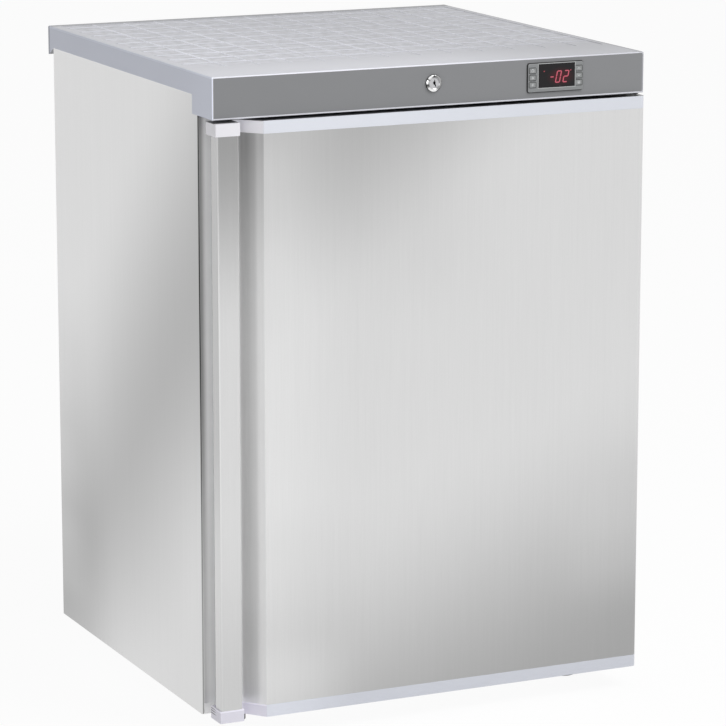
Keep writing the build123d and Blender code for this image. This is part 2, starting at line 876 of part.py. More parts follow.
with BuildPart() as hinge_screws:
    for x, y in top_screws:
        with BuildSketch(level(cheek_z)):
            with Locations((x, y)):
                Circle(screw_head)
        extrude(amount=-(screw_head - screw_radius), taper=45)
        with BuildSketch(level(cheek_z)):
            with Locations((x, y)):
                Circle(screw_radius)
        extrude(amount=-screw_length)
    for x, z in bottom_screws:
        with BuildSketch(facing(cabinet_front_y - hinge_plate)):
            with Locations((x, z)):
                Circle(screw_head)
        extrude(amount=screw_radius)
        with BuildSketch(facing(cabinet_front_y - hinge_plate)):
            with Locations((x, z)):
                Circle(screw_radius)
        extrude(amount=-screw_length)
save("hinge_screws", hinge_screws.part)

# ================================================================ door


# Plan of the door: left side, floor of the finger pocket, slope up to the crease, plain front,
# rounded hinge edge.
slope_foot = (crease_x - (pocket_y + door_proud) / tan(radians(pocket_slope)), pocket_y)
with BuildSketch() as door_plan:
    with BuildLine():
        Polyline(slope_foot, (door_left_x, pocket_y), (door_left_x, door_rear_y))
        Polyline((door_left_x, door_rear_y), (overall_width, door_rear_y))
        Line((overall_width, door_rear_y), (overall_width, -door_proud + door_edge))
        RadiusArc(
            (overall_width, -door_proud + door_edge),
            (overall_width - door_edge, -door_proud),
            door_edge,
        )
        Line((overall_width - door_edge, -door_proud), (crease_x, -door_proud))
        Line((crease_x, -door_proud), slope_foot)
    make_face()
    fillet(door_plan.vertices().sort_by_distance(slope_foot)[0], radius=pocket_bend)

# The caps add a block that closes the end of the handle.
with BuildSketch() as cap_plan:
    add(door_plan.sketch)
    with BuildSketch() as block_plan:
        rectangle((0, block_right_x), (-handle_proud, block_back_y))
        fillet(block_plan.vertices().group_by(Axis.Y)[0], radius=cap_block_round)
    rectangle((door_left_x - handle_wall, block_right_x), (0, door_rear_y))

skin_z = (door_bottom_z + cap_height, door_top_z - cap_height)

# Stainless door skin, open at both ends and folded in at the back.
with BuildPart() as door_skin:
    with BuildSketch(level(skin_z[0])):
        add(door_plan.sketch)
        offset(door_plan.sketch, -door_sheet, kind=Kind.INTERSECTION, mode=Mode.SUBTRACT)
    extrude(amount=skin_z[1] - skin_z[0])
    slab(
        (door_left_x + door_return, overall_width - door_return),
        (door_rear_y - door_sheet, door_rear_y),
        skin_z,
        mode=Mode.SUBTRACT,
    )
save("door_skin", door_skin.part)

# Extruded handle: front plate with a turned lip, outer side, and a web back to the door.
web_y = -handle_proud + handle_side
with BuildPart() as handle_profile:
    with BuildSketch(level(skin_z[0])) as grip:
        t = handle_wall
        tail_x = door_left_x - t
        outline(
            [
                (handle_right_x, -handle_proud),
                (handle_left_x, -handle_proud),
                (handle_left_x, web_y),
                (tail_x, pocket_y),
                (tail_x, door_rear_y),
                (door_left_x, door_rear_y),
                (door_left_x, pocket_y - t / 2),
                (handle_left_x + t, web_y - t / 2),
                (handle_left_x + t, -handle_proud + t),
                (handle_right_x - t, -handle_proud + t),
                (handle_right_x - t, -handle_proud + 2 * t),
                (handle_right_x, -handle_proud + 2 * t),
            ]
        )
        outer = grip.vertices().group_by(Axis.Y)[0]
        fillet(outer, radius=handle_corner)
        inner = grip.vertices().sort_by_distance((handle_left_x + t, -handle_proud + t))[0]
        fillet(inner, radius=handle_corner - t)
    extrude(amount=skin_z[1] - skin_z[0])
save("handle_profile", handle_profile.part)


def hollow_cap(cap_base, inward):
    """End cap's walls: a plate with a skirt that meets the skin, in the part that is open."""
    add(extrude(level(cap_base) * cap_plan.sketch, cap_height * inward, mode=Mode.PRIVATE))
    hollow = offset(cap_plan.sketch, -cap_wall, kind=Kind.INTERSECTION, mode=Mode.PRIVATE)
    hollow_plane = level(cap_base + cap_wall * inward)
    well = extrude(hollow_plane * hollow, cap_height * inward, mode=Mode.PRIVATE)
    add(well, mode=Mode.SUBTRACT)


cam_slot_x = (
    lock_x - sqrt(cam_reach**2 - (lock_z - door_top_z) ** 2) - cam_play,
    lock_x + cam_width / 2 + cam_play,
)
cam_slot_depth = cam_reach - (lock_z - door_top_z) + cam_play

with BuildPart() as door_cap_top:
    hollow_cap(door_top_z, -1)
    slab(
        (cam_slot_x[0] - pocket_wall, cam_slot_x[1] + pocket_wall),
        (cam_slot_y[0] - pocket_wall, cam_slot_y[1] + pocket_wall),
        (door_top_z - cam_slot_depth - pocket_wall, door_top_z),
    )
    slab(cam_slot_x, cam_slot_y, (door_top_z - cam_slot_depth, door_top_z), mode=Mode.SUBTRACT)
    with BuildSketch(level(door_top_z)):
        with Locations((hinge_x, hinge_y)):
            Circle(boss_radius)
    extrude(amount=-cap_height)
    with BuildSketch(level(door_top_z)):
        with Locations((hinge_x, hinge_y)):
            Circle(bush_radius)
    extrude(amount=-cap_height, mode=Mode.SUBTRACT)
save("door_cap_top", door_cap_top.part)

with BuildPart() as door_cap_bottom:
    hollow_cap(door_bottom_z, 1)
    with BuildSketch(level(door_bottom_z)):
        with Locations((hinge_x, hinge_y)):
            Circle(boss_radius)
    extrude(amount=cap_height)
    with BuildSketch(level(door_bottom_z)):
        with Locations((hinge_x, hinge_y)):
            Circle(bush_radius)
    extrude(amount=cap_height, mode=Mode.SUBTRACT)
save("door_cap_bottom", door_cap_bottom.part)

# Flanged plastic bushes that turn on the two hinge pins.
with BuildPart() as hinge_bushes:
    for base, inward in ((door_top_z, -1), (door_bottom_z, 1)):
        with BuildSketch(level(base)):
            with Locations((hinge_x, hinge_y)):
                Circle(bush_radius)
        extrude(amount=cap_height * inward)
        with BuildSketch(level(base)):
            with Locations((hinge_x, hinge_y)):
                Circle(bush_collar)
        extrude(amount=-bush_collar_height * inward)
        with BuildSketch(level(base - bush_collar_height * inward)):
            with Locations((hinge_x, hinge_y)):
                Circle(pin_radius + pin_fit)
        extrude(amount=(cap_height + bush_collar_height) * inward, mode=Mode.SUBTRACT)
save("hinge_bushes", hinge_bushes.part)

# Formed inner panel: a flat rim on the back of the skin and a shallow tapered plug.
panel_x = (door_left_x + liner_margin, overall_width - liner_margin)
panel_z = (door_bottom_z + liner_margin, door_top_z - liner_margin)
plug_x = (plug_inset_x, overall_width - plug_inset_x)
plug_z = (interior_floor_z + plug_inset_z, interior_top_z - plug_inset_z)
with BuildPart() as door_plug:
    with BuildSketch(facing(door_rear_y)) as plug_base:
        rectangle(plug_x, plug_z)
        fillet(plug_base.vertices(), radius=plug_corner)
    extrude(amount=-plug_depth, taper=plug_taper)

with BuildPart() as door_plug_inside:
    with BuildSketch(facing(door_rear_y)) as plug_inner_base:
        rectangle(
            (plug_x[0] + liner_panel, plug_x[1] - liner_panel),
            (plug_z[0] + liner_panel, plug_z[1] - liner_panel),
        )
        fillet(plug_inner_base.vertices(), radius=plug_corner - liner_panel)
    extrude(amount=-(plug_depth - liner_panel), taper=plug_taper)

with BuildPart() as door_liner:
    with BuildSketch(facing(door_rear_y)):
        rectangle(panel_x, panel_z)
    extrude(amount=-liner_panel)
    add(door_plug.part)
    add(door_plug_inside.part, mode=Mode.SUBTRACT)
save("door_liner", door_liner.part)

# Foam that fills the skin and the plug.
with BuildPart() as door_foam:
    with BuildSketch(level(skin_z[0])):
        offset(door_plan.sketch, -door_sheet, kind=Kind.INTERSECTION)
    extrude(amount=skin_z[1] - skin_z[0])
    slab(
        (door_left_x + door_return, overall_width - door_return),
        (door_rear_y - door_sheet, door_rear_y),
        skin_z,
    )
    add(door_plug_inside.part)
save("door_foam", door_foam.part)

# Magnetic gasket: a base in the panel, a soft neck and a magnet bead that meets the cabinet.
gasket_x = (gasket_inset, overall_width - gasket_inset)
gasket_z = (interior_floor_z - gasket_offset, interior_top_z + gasket_offset)
gasket_back_y = cabinet_front_y - running_gap
gasket_steps = [
    (gasket_base, door_rear_y + liner_panel, door_rear_y + liner_panel + gasket_base_depth),
    (gasket_neck, door_rear_y + liner_panel + gasket_base_depth, gasket_back_y - gasket_head_depth),
    (gasket_head, gasket_back_y - gasket_head_depth, gasket_back_y),
]
with BuildPart() as gasket:
    for width, step_y, step_end_y in gasket_steps:
        half = width / 2
        with BuildSketch(facing(step_y)):
            rectangle(
                (gasket_x[0] - half, gasket_x[1] + half), (gasket_z[0] - half, gasket_z[1] + half)
            )
            with Locations((sum(gasket_x) / 2, sum(gasket_z) / 2)):
                Rectangle(
                    gasket_x[1] - gasket_x[0] - width,
                    gasket_z[1] - gasket_z[0] - width,
                    mode=Mode.SUBTRACT,
                )
        extrude(amount=-(step_end_y - step_y))
save("gasket", gasket.part)

# ================================================================ wire shelves

shelf_x = (
    liner_x[0] + shelf_side_gap + shelf_rod,
    liner_x[1] - shelf_side_gap - shelf_rod,
)
wire_total = int((shelf_x[1] - shelf_x[0]) / shelf_wire_pitch) - 1
shelf_middle_x = sum(shelf_x) / 2
shelf_corners = [
    (shelf_middle_x, shelf_front_y),
    (shelf_x[1], shelf_front_y),
    (shelf_x[1], shelf_back_y),
    (shelf_x[0], shelf_back_y),
    (shelf_x[0], shelf_front_y),
    (shelf_middle_x, shelf_front_y),
]
with BuildPart() as shelf:
    add(pipe([(x, y, 0) for x, y in shelf_corners], bend=shelf_corner, radius=shelf_rod))
    with BuildSketch(facing(shelf_back_y)):
        for index in range(wire_total):
            wire_offset = (index - (wire_total - 1) / 2) * shelf_wire_pitch
            with Locations((shelf_middle_x + wire_offset, 0)):
                Circle(shelf_wire)
    extrude(amount=shelf_back_y - shelf_front_y)

for shelf_name, rib in shelf_ribs.items():
    shelf_z = rib_first_z + rib * rib_pitch + shelf_rod
    with BuildPart() as placed_shelf:
        with Locations((0, 0, shelf_z)):
            add(shelf.part)
    save(shelf_name, placed_shelf.part)

# ================================================================ feet


for foot_name, place in feet.items():
    with BuildPart() as foot:
        with BuildSketch(level(-foot_height)):
            with Locations(place):
                Circle(foot_pad)
        extrude(amount=foot_pad_height)
        rim = foot.faces().sort_by(Axis.Z)[-1].edges()
        fillet(rim, radius=foot_round)
        with BuildSketch(level(-foot_height + foot_pad_height)):
            with Locations(place):
                hexagon(foot_hex_af)
        extrude(amount=foot_height - foot_pad_height - running_gap)
        with BuildSketch(level(-running_gap)):
            with Locations(place):
                Circle(stud_radius)
        extrude(amount=stud_length)
    save(foot_name, foot.part)

with BuildPart() as foot_inserts:
    for place, floor_sheet in zip(foot_places, (sheet, sheet, tray_sheet, tray_sheet)):
        with BuildSketch(level(floor_sheet)):
            with Locations(place):
                hexagon(2 * insert_radius)
                Circle(stud_radius + stud_clearance, mode=Mode.SUBTRACT)
        extrude(amount=insert_height)
save("foot_inserts", foot_inserts.part)

# ================================================================ machine compartment

plate_z = compressor_z - compressor_plate
with BuildPart() as compressor_grommets:
    with BuildSketch(level(tray_sheet)):
        with Locations(*compressor_mounts):
            Circle(grommet_radius)
            Circle(grommet_bore, mode=Mode.SUBTRACT)
    extrude(amount=plate_z - tray_sheet)
save("compressor_grommets", compressor_grommets.part)

discharge_z = compressor_z + discharge_rise
suction_z = compressor_z + suction_rise
stub_reach = compressor_radii[0] + stub_length
seam_out, seam_height = compressor_seam
with BuildPart() as compressor:
    with BuildSketch(level(compressor_z)):
        with Locations((compressor_x, compressor_y)):
            SlotOverall(2 * compressor_radii[0], 2 * compressor_radii[1])
    extrude(amount=compressor_top_z - compressor_z)
    fillet(compressor.edges().group_by(Axis.Z)[0], radius=compressor_round)
    fillet(compressor.edges().group_by(Axis.Z)[-1], radius=compressor_round)
    with BuildSketch(level((compressor_z + compressor_top_z) / 2)):
        with Locations((compressor_x, compressor_y)):
            SlotOverall(
                2 * (compressor_radii[0] + seam_out), 2 * (compressor_radii[1] + seam_out)
            )
    extrude(amount=seam_height)
    with BuildSketch(level(plate_z)):
        with Locations((compressor_x, compressor_y)):
            RectangleRounded(
                mount_spacing[0] + 2 * grommet_radius,
                mount_spacing[1] + 2 * grommet_radius,
                compressor_plate_corner,
            )
        with Locations(*compressor_mounts):
            Circle(grommet_bore, mode=Mode.SUBTRACT)
    extrude(amount=compressor_plate)
    with BuildSketch(section(compressor_x)):
        with Locations((compressor_y, discharge_z)):
            Circle(stub_radius)
    extrude(amount=stub_reach)
    with BuildSketch(section(compressor_x)):
        with Locations((compressor_y, suction_z)):
            Circle(stub_radius)
    extrude(amount=-stub_reach)
save("compressor", compressor.part)

relay_x = compressor_x + compressor_radii[0] - relay_inset
relay_z = discharge_z + relay_rise
with BuildPart() as relay_box:
    slab(
        (relay_x, relay_x + relay_size[0]),
        (compressor_y - relay_size[1] / 2, compressor_y + relay_size[1] / 2),
        (relay_z, relay_z + relay_size[2]),
    )
    fillet(relay_box.edges().filter_by(Axis.Z), radius=relay_corner)
    add(compressor.part, mode=Mode.SUBTRACT)
save("relay_box", relay_box.part)

with BuildPart() as evaporation_pan:
    with BuildSketch(level(compressor_top_z)):
        with Locations((compressor_x, compressor_y)):
            RectangleRounded(*evaporation_pan_size[:2], evaporation_pan_corner)
    extrude(amount=evaporation_pan_size[2])
    rim_face = evaporation_pan.faces().sort_by(Axis.Z)[-1]
    offset(amount=-evaporation_pan_wall, openings=rim_face)
save("evaporation_pan", evaporation_pan.part)

with BuildPart() as drain_tube:
    with BuildSketch(level(compressor_top_z + evaporation_pan_size[2] / 2)):
        with Locations((drain_x, drain_y)):
            Circle(drain_radius)
            Circle(drain_bore, mode=Mode.SUBTRACT)
    extrude(amount=step_z - liner_wall - compressor_top_z - evaporation_pan_size[2] / 2)
save("drain_tube", drain_tube.part)

with BuildPart() as cord_gland:
    with BuildSketch(facing(cabinet_back_y - sheet)):
        with Locations((gland_x, gland_z)):
            Circle(gland_flange)
    extrude(amount=-gland_flange_depth)
    with BuildSketch(facing(cabinet_back_y - sheet)):
        with Locations((gland_x, gland_z)):
            Circle(gland_radius - pin_fit)
    extrude(amount=tray_sheet)
    with BuildSketch(facing(cabinet_back_y - sheet - tray_sheet)):
        with Locations((gland_x, gland_z)):
            hexagon(2 * gland_flange)
    extrude(amount=2 * gland_flange_depth)
    with BuildSketch(facing(cabinet_back_y + gland_flange_depth)):
        with Locations((gland_x, gland_z)):
            Circle(gland_bore)
    extrude(amount=worktop_depth - cabinet_front_y, mode=Mode.SUBTRACT)
save("cord_gland", cord_gland.part)

# ================================================================ condenser and pipes

pass_pitch = (condenser_z[1] - condenser_z[0]) / (condenser_passes - 1)
bend_radius = pass_pitch / 2 - 2
turns = []
for index in range(condenser_passes):
    pass_z = condenser_z[1] - index * pass_pitch
    ends = condenser_x if index % 2 else condenser_x[::-1]
    turns += [(x, condenser_y, pass_z) for x in ends]
with BuildPart() as condenser_tube:
    add(pipe(turns, bend=bend_radius, radius=tube_radius))
save("condenser_tube", condenser_tube.part)

wire_y = condenser_y + tube_radius + wire_radius + weld_gap
wire_spacing = (condenser_x[1] - condenser_x[0] - 2 * bend_radius) / (wire_count - 1)
with BuildPart() as condenser_wires:
    with BuildSketch(level(condenser_z[0] - wire_overhang)):
        for index in range(wire_count):
            with Locations((condenser_x[0] + bend_radius + index * wire_spacing, wire_y)):
                Circle(wire_radius)
    extrude(amount=condenser_z[1] - condenser_z[0] + 2 * wire_overhang)
save("condenser_wires", condenser_wires.part)

clip_places = [
    (x, condenser_z[1] - index * pass_pitch)
    for x in (condenser_x[0] + clip_setback, condenser_x[1] - clip_setback)
    for index in (1, condenser_passes - 2)
]
with BuildPart() as condenser_clips:
    with BuildSketch(facing(cabinet_back_y - sheet)):
        with Locations(*clip_places):
            RectangleRounded(*clip_size)
    extrude(amount=-(condenser_y - cabinet_back_y + sheet))
    for x, z in clip_places:
        with BuildSketch(section(x - clip_size[0])):
            with Locations((condenser_y, z)):
                Circle(tube_radius + weld_gap)
        extrude(amount=2 * clip_size[0], mode=Mode.SUBTRACT)
save("condenser_clips", condenser_clips.part)


with BuildPart() as discharge_pipe:
    add(
        pipe(
            [
                (compressor_x + stub_reach, compressor_y, discharge_z),
                (compressor_x + stub_reach + discharge_lead, compressor_y, discharge_z),
                (discharge_x, compressor_y + discharge_turn, discharge_z),
                (discharge_x, condenser_y, discharge_z),
                (discharge_x, condenser_y, condenser_z[1]),
                (condenser_x[1], condenser_y, condenser_z[1]),
            ],
            bend=pipe_bend,
            radius=tube_radius,
        )
    )
save("discharge_pipe", discharge_pipe.part)

drier_x, drier_y, drier_z = drier_place
drier_top_z = drier_z + drier_length
with BuildPart() as filter_drier:
    with BuildSketch(level(drier_z)):
        with Locations((drier_x, drier_y)):
            Circle(drier_radius)
    extrude(amount=drier_length)
    fillet(filter_drier.edges().filter_by(GeomType.CIRCLE), radius=drier_radius - tube_radius - weld_gap)
    with BuildSketch(level(drier_z - drier_stub)):
        with Locations((drier_x, drier_y)):
            Circle(tube_radius)
    extrude(amount=drier_stub + pipe_seat)
    add(
        pipe(
            [
                (drier_x, drier_y, drier_top_z - pipe_seat),
                (drier_x, drier_y, drier_top_z + drier_rise),
                (drier_x - drier_reach, drier_y, drier_top_z + drier_rise),
                (drier_x - drier_reach, condenser_y, drier_top_z + drier_rise),
                (drier_x - drier_reach, condenser_y, condenser_z[0]),
                (condenser_x[0], condenser_y, condenser_z[0]),
            ],
            bend=pipe_bend,
            radius=tube_radius,
        )
    )
save("filter_drier", filter_drier.part)

suction_top_z = evaporator_z[0] + suction_entry
with BuildPart() as suction_pipe:
    add(
        pipe(
            [
                (compressor_x - stub_reach, compressor_y, suction_z),
                (suction_place[0], compressor_y, suction_z),
                (suction_place[0], suction_place[1], suction_z),
                (suction_place[0], suction_place[1], suction_top_z),
                (suction_place[0], evaporator_y + evaporator_sheet, suction_top_z),
            ],
            bend=pipe_bend,
            radius=tube_radius,
        )
    )
save("suction_pipe", suction_pipe.part)

# ================================================================ evaporator and fan

standoffs = [
    (x, z)
    for x in (evaporator_x[0] + standoff_inset[0], evaporator_x[1] - standoff_inset[0])
    for z in (evaporator_z[0] + standoff_inset[1], evaporator_z[1] - standoff_inset[1])
]
with BuildPart() as evaporator:
    with BuildSketch(facing(evaporator_y)):
        rectangle(evaporator_x, evaporator_z)
    extrude(amount=-evaporator_sheet)
    first_row_z = evaporator_z[0] + channel_inset[1]
    rows = int((evaporator_z[1] - channel_top_inset - first_row_z) / channel_pitch) + 1
    ends = (evaporator_x[0] + channel_inset[0], evaporator_x[1] - channel_inset[0])
    turns = []
    for index in range(rows):
        row_z = first_row_z + index * channel_pitch
        turns += [(x, row_z) for x in (ends if index % 2 == 0 else ends[::-1])]
    with BuildSketch(facing(evaporator_y)):
        with BuildLine():
            FilletPolyline(*turns, radius=channel_pitch / 2 - 2)
        trace(line_width=channel_width)
    extrude(amount=channel_height)
    with BuildSketch(facing(evaporator_y + evaporator_sheet)):
        with Locations(*standoffs):
            Circle(standoff_radius)
    extrude(amount=-(interior_back_y - evaporator_y - evaporator_sheet))
save("evaporator", evaporator.part)

with BuildPart() as fan_shroud:
    with BuildSketch(facing(shroud_front_y)):
        with Locations((fan_x, fan_z)):
            RectangleRounded(shroud_width, shroud_height, shroud_corner)
    extrude(amount=-(interior_back_y - shroud_front_y))
    with BuildSketch(facing(shroud_front_y + shroud_wall)):
        with Locations((fan_x, fan_z)):
            RectangleRounded(
                shroud_width - 2 * shroud_wall,
                shroud_height - 2 * shroud_wall,
                shroud_corner - shroud_wall,
            )
    extrude(amount=-(interior_back_y - shroud_front_y), mode=Mode.SUBTRACT)
    with BuildSketch(facing(shroud_front_y)):
        with Locations((fan_x, fan_z)):
            Circle(shroud_opening)
            for ring in grille_rings:
                Circle(ring + grille_bar / 2, mode=Mode.SUBTRACT)
                Circle(ring - grille_bar / 2)
            Circle(grille_centre, mode=Mode.SUBTRACT)
            with PolarLocations(shroud_opening / 2, grille_spokes):
                Rectangle(shroud_opening, grille_bar, mode=Mode.SUBTRACT)
    extrude(amount=-shroud_wall, mode=Mode.SUBTRACT)
    with BuildSketch(level(fan_z - shroud_height / 2)):
        with Locations((fan_x, (shroud_front_y + interior_back_y) / 2)):
            with GridLocations(vent_pitch, 0, vent_count, 1):
                SlotOverall(*vent_slot, rotation=90)
    extrude(amount=shroud_wall, mode=Mode.SUBTRACT)
save("fan_shroud", fan_shroud.part)

with BuildPart() as fan_motor:
    with BuildSketch(facing(motor_front_y)):
        with Locations((fan_x, fan_z)):
            Circle(motor_radius)
    extrude(amount=-(interior_back_y - motor_foot - motor_front_y))
    with BuildSketch(facing(interior_back_y - motor_foot)):
        with Locations((fan_x, fan_z)):
            RectangleRounded(motor_foot_width, motor_foot_width, motor_foot_corner)
    extrude(amount=-motor_foot)
    with BuildSketch(facing(motor_front_y)):
        with Locations((fan_x, fan_z)):
            Circle(shaft_radius + pin_fit)
    extrude(amount=-(shaft_seat + shaft_end_play), mode=Mode.SUBTRACT)
save("fan_motor", fan_motor.part)

fan_centre = point(fan_x, fan_front_y + fan_hub_depth / 2, fan_z)
hub_plane = Plane(origin=fan_centre, x_dir=(1, 0, 0), z_dir=(0, -1, 0))
with BuildPart() as fan_rotor:
    with BuildSketch(facing(fan_front_y)):
        with Locations((fan_x, fan_z)):
            Circle(fan_hub)
    extrude(amount=-fan_hub_depth)
    with BuildSketch(facing(fan_front_y + fan_hub_depth)):
        with Locations((fan_x, fan_z)):
            Circle(shaft_radius)
    extrude(amount=-(motor_front_y + shaft_seat - fan_front_y - fan_hub_depth))
    for index in range(fan_blades):
        angle = 360 / fan_blades * index
        turned = hub_plane * Location((0, 0, 0), (0, 0, angle))
        for radius, chord, pitch in (blade_root, blade_tip):
            with BuildSketch(Plane(turned * Location((radius, 0, 0), (0, 90, 0)))):
                Rectangle(fan_blade_sheet, chord, rotation=90 - pitch)
        loft()
save("fan_rotor", fan_rotor.part)

# ================================================================ cabinet foam

with BuildPart() as cabinet_foam:
    with BuildSketch(section(sheet)):
        outline(
            [
                (cabinet_front_y + trim_depth, sheet),
                (machine_front_y - sheet, sheet),
                (machine_front_y - sheet, machine_height),
                (cabinet_back_y - 2 * sheet, machine_height),
                (cabinet_back_y - 2 * sheet, rim_z - sheet),
                (cheek_depth + sheet, rim_z - sheet),
                (cheek_depth + sheet, front_top_z - sheet),
                (cabinet_front_y + sheet, front_top_z - sheet),
                (cabinet_front_y + sheet, trim_height),
                (cabinet_front_y + trim_wall, trim_height),
                (cabinet_front_y + trim_wall, trim_wall),
                (cabinet_front_y + trim_depth, trim_wall),
            ]
        )
    extrude(amount=overall_width - 2 * sheet)
    with BuildSketch(level(sheet)):
        with Locations(*foot_places[:2]):
            Circle(stud_radius + stud_clearance)
    extrude(amount=stud_length, mode=Mode.SUBTRACT)
    with BuildSketch(level(machine_height)):
        with Locations((drain_x, drain_y)):
            Circle(drain_radius)
    extrude(amount=step_z - machine_height, mode=Mode.SUBTRACT)
    for neighbour in (
        side_panel_left,
        side_panel_right,
        bottom_trim,
        base_pan,
        liner_cavity,
        inner_liner,
        suction_pipe,
        hinge_screws,
        foot_inserts,
    ):
        add(neighbour.part, mode=Mode.SUBTRACT)
save("cabinet_foam", cabinet_foam.part)
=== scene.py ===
"""Looks of a free-standing undercounter refrigerator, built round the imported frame.

Every sub-assembly is a class with its sizes as fields. Lengths are in metres, x to the right,
y back from the front, z up from the floor.
"""

import logging
import math
from collections.abc import Mapping, Sequence
from dataclasses import dataclass, replace
from enum import Enum
from typing import Any

import bmesh
import bpy
from mathutils import Matrix, Vector


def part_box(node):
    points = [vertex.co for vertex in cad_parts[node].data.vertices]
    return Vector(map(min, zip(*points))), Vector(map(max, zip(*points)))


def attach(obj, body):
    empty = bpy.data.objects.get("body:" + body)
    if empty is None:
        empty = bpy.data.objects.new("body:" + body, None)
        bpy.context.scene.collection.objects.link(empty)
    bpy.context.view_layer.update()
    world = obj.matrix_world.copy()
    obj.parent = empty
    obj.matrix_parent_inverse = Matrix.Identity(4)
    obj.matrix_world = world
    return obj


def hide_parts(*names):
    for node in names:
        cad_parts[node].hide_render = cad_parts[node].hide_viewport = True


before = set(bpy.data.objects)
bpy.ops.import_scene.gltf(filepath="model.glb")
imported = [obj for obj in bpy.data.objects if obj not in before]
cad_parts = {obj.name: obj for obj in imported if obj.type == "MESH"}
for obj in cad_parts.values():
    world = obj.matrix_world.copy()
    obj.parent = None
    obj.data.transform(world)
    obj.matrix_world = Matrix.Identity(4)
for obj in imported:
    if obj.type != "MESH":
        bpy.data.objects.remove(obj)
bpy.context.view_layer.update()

LOG = logging.getLogger("refrigerator")
MM = 0.001
MERGE = 0.002 * MM
FLAT = math.radians(0.3)
SHARP = math.radians(25.0)
RING_STEPS = 28
FACE_FRONT = Matrix.Rotation(math.radians(90), 4, "X")
SORTING = Vector((1.0, 0.618, 0.327))

Shape = bmesh.types.BMesh
Colour = tuple[float, float, float, float]
Direction = tuple[float, float, float]
Steps = tuple[tuple[Direction, float, float], ...]
ACROSS: Direction = (1.0, 0.0, 0.0)
BACK: Direction = (0.0, 1.0, 0.0)
UP: Direction = (0.0, 0.0, 1.0)


def srgb(red: float, green: float, blue: float) -> Colour:
    """Turns a colour as a screen shows it, 0 to 255, into the linear one that shaders take.

    Args:
        red: Red, 0 to 255.
        green: Green, 0 to 255.
        blue: Blue, 0 to 255.

    Returns:
        The linear colour with full opacity.
    """
    shares = (red / 255, green / 255, blue / 255)
    linear = [s / 12.92 if s <= 0.04045 else ((s + 0.055) / 1.055) ** 2.4 for s in shares]
    return (linear[0], linear[1], linear[2], 1.0)


def grey(level: float) -> Colour:
    """The linear colour of a grey that a screen shows, 0 to 255."""
    return srgb(level, level, level)


WHITE = grey(255)
BLACK = grey(0)


# ---------------------------------------------------------------- shader maths


class Signal:
    """A socket of a material that takes part in arithmetic."""

    def __init__(self, graph: "Graph", socket: bpy.types.NodeSocket | None) -> None:
        """Wraps one output socket of a graph."""
        self.graph = graph
        self.socket = socket

    def __add__(self, other: "Signal | float") -> "Signal":
        """Sum."""
        return self.graph.math("ADD", self, other)

    __radd__ = __add__

    def __sub__(self, other: "Signal | float") -> "Signal":
        """Difference."""
        return self.graph.math("SUBTRACT", self, other)

    def __rsub__(self, other: float) -> "Signal":
        """Difference from a number."""
        return self.graph.math("SUBTRACT", other, self)

    def __mul__(self, other: "Signal | float") -> "Signal":
        """Product."""
        return self.graph.math("MULTIPLY", self, other)

    __rmul__ = __mul__

    def above(self, low: float, high: float) -> "Signal":
        """Soft step from 0 at low to 1 at high.

        Args:
            low: Value at which the step starts.
            high: Value at which it ends.

        Returns:
            The step, 0 to 1.
        """
        settings = {"interpolation_type": "SMOOTHSTEP"}
        sockets = {"Value": self, "From Min": low, "From Max": high}
        return self.graph.node("ShaderNodeMapRange", settings, sockets)


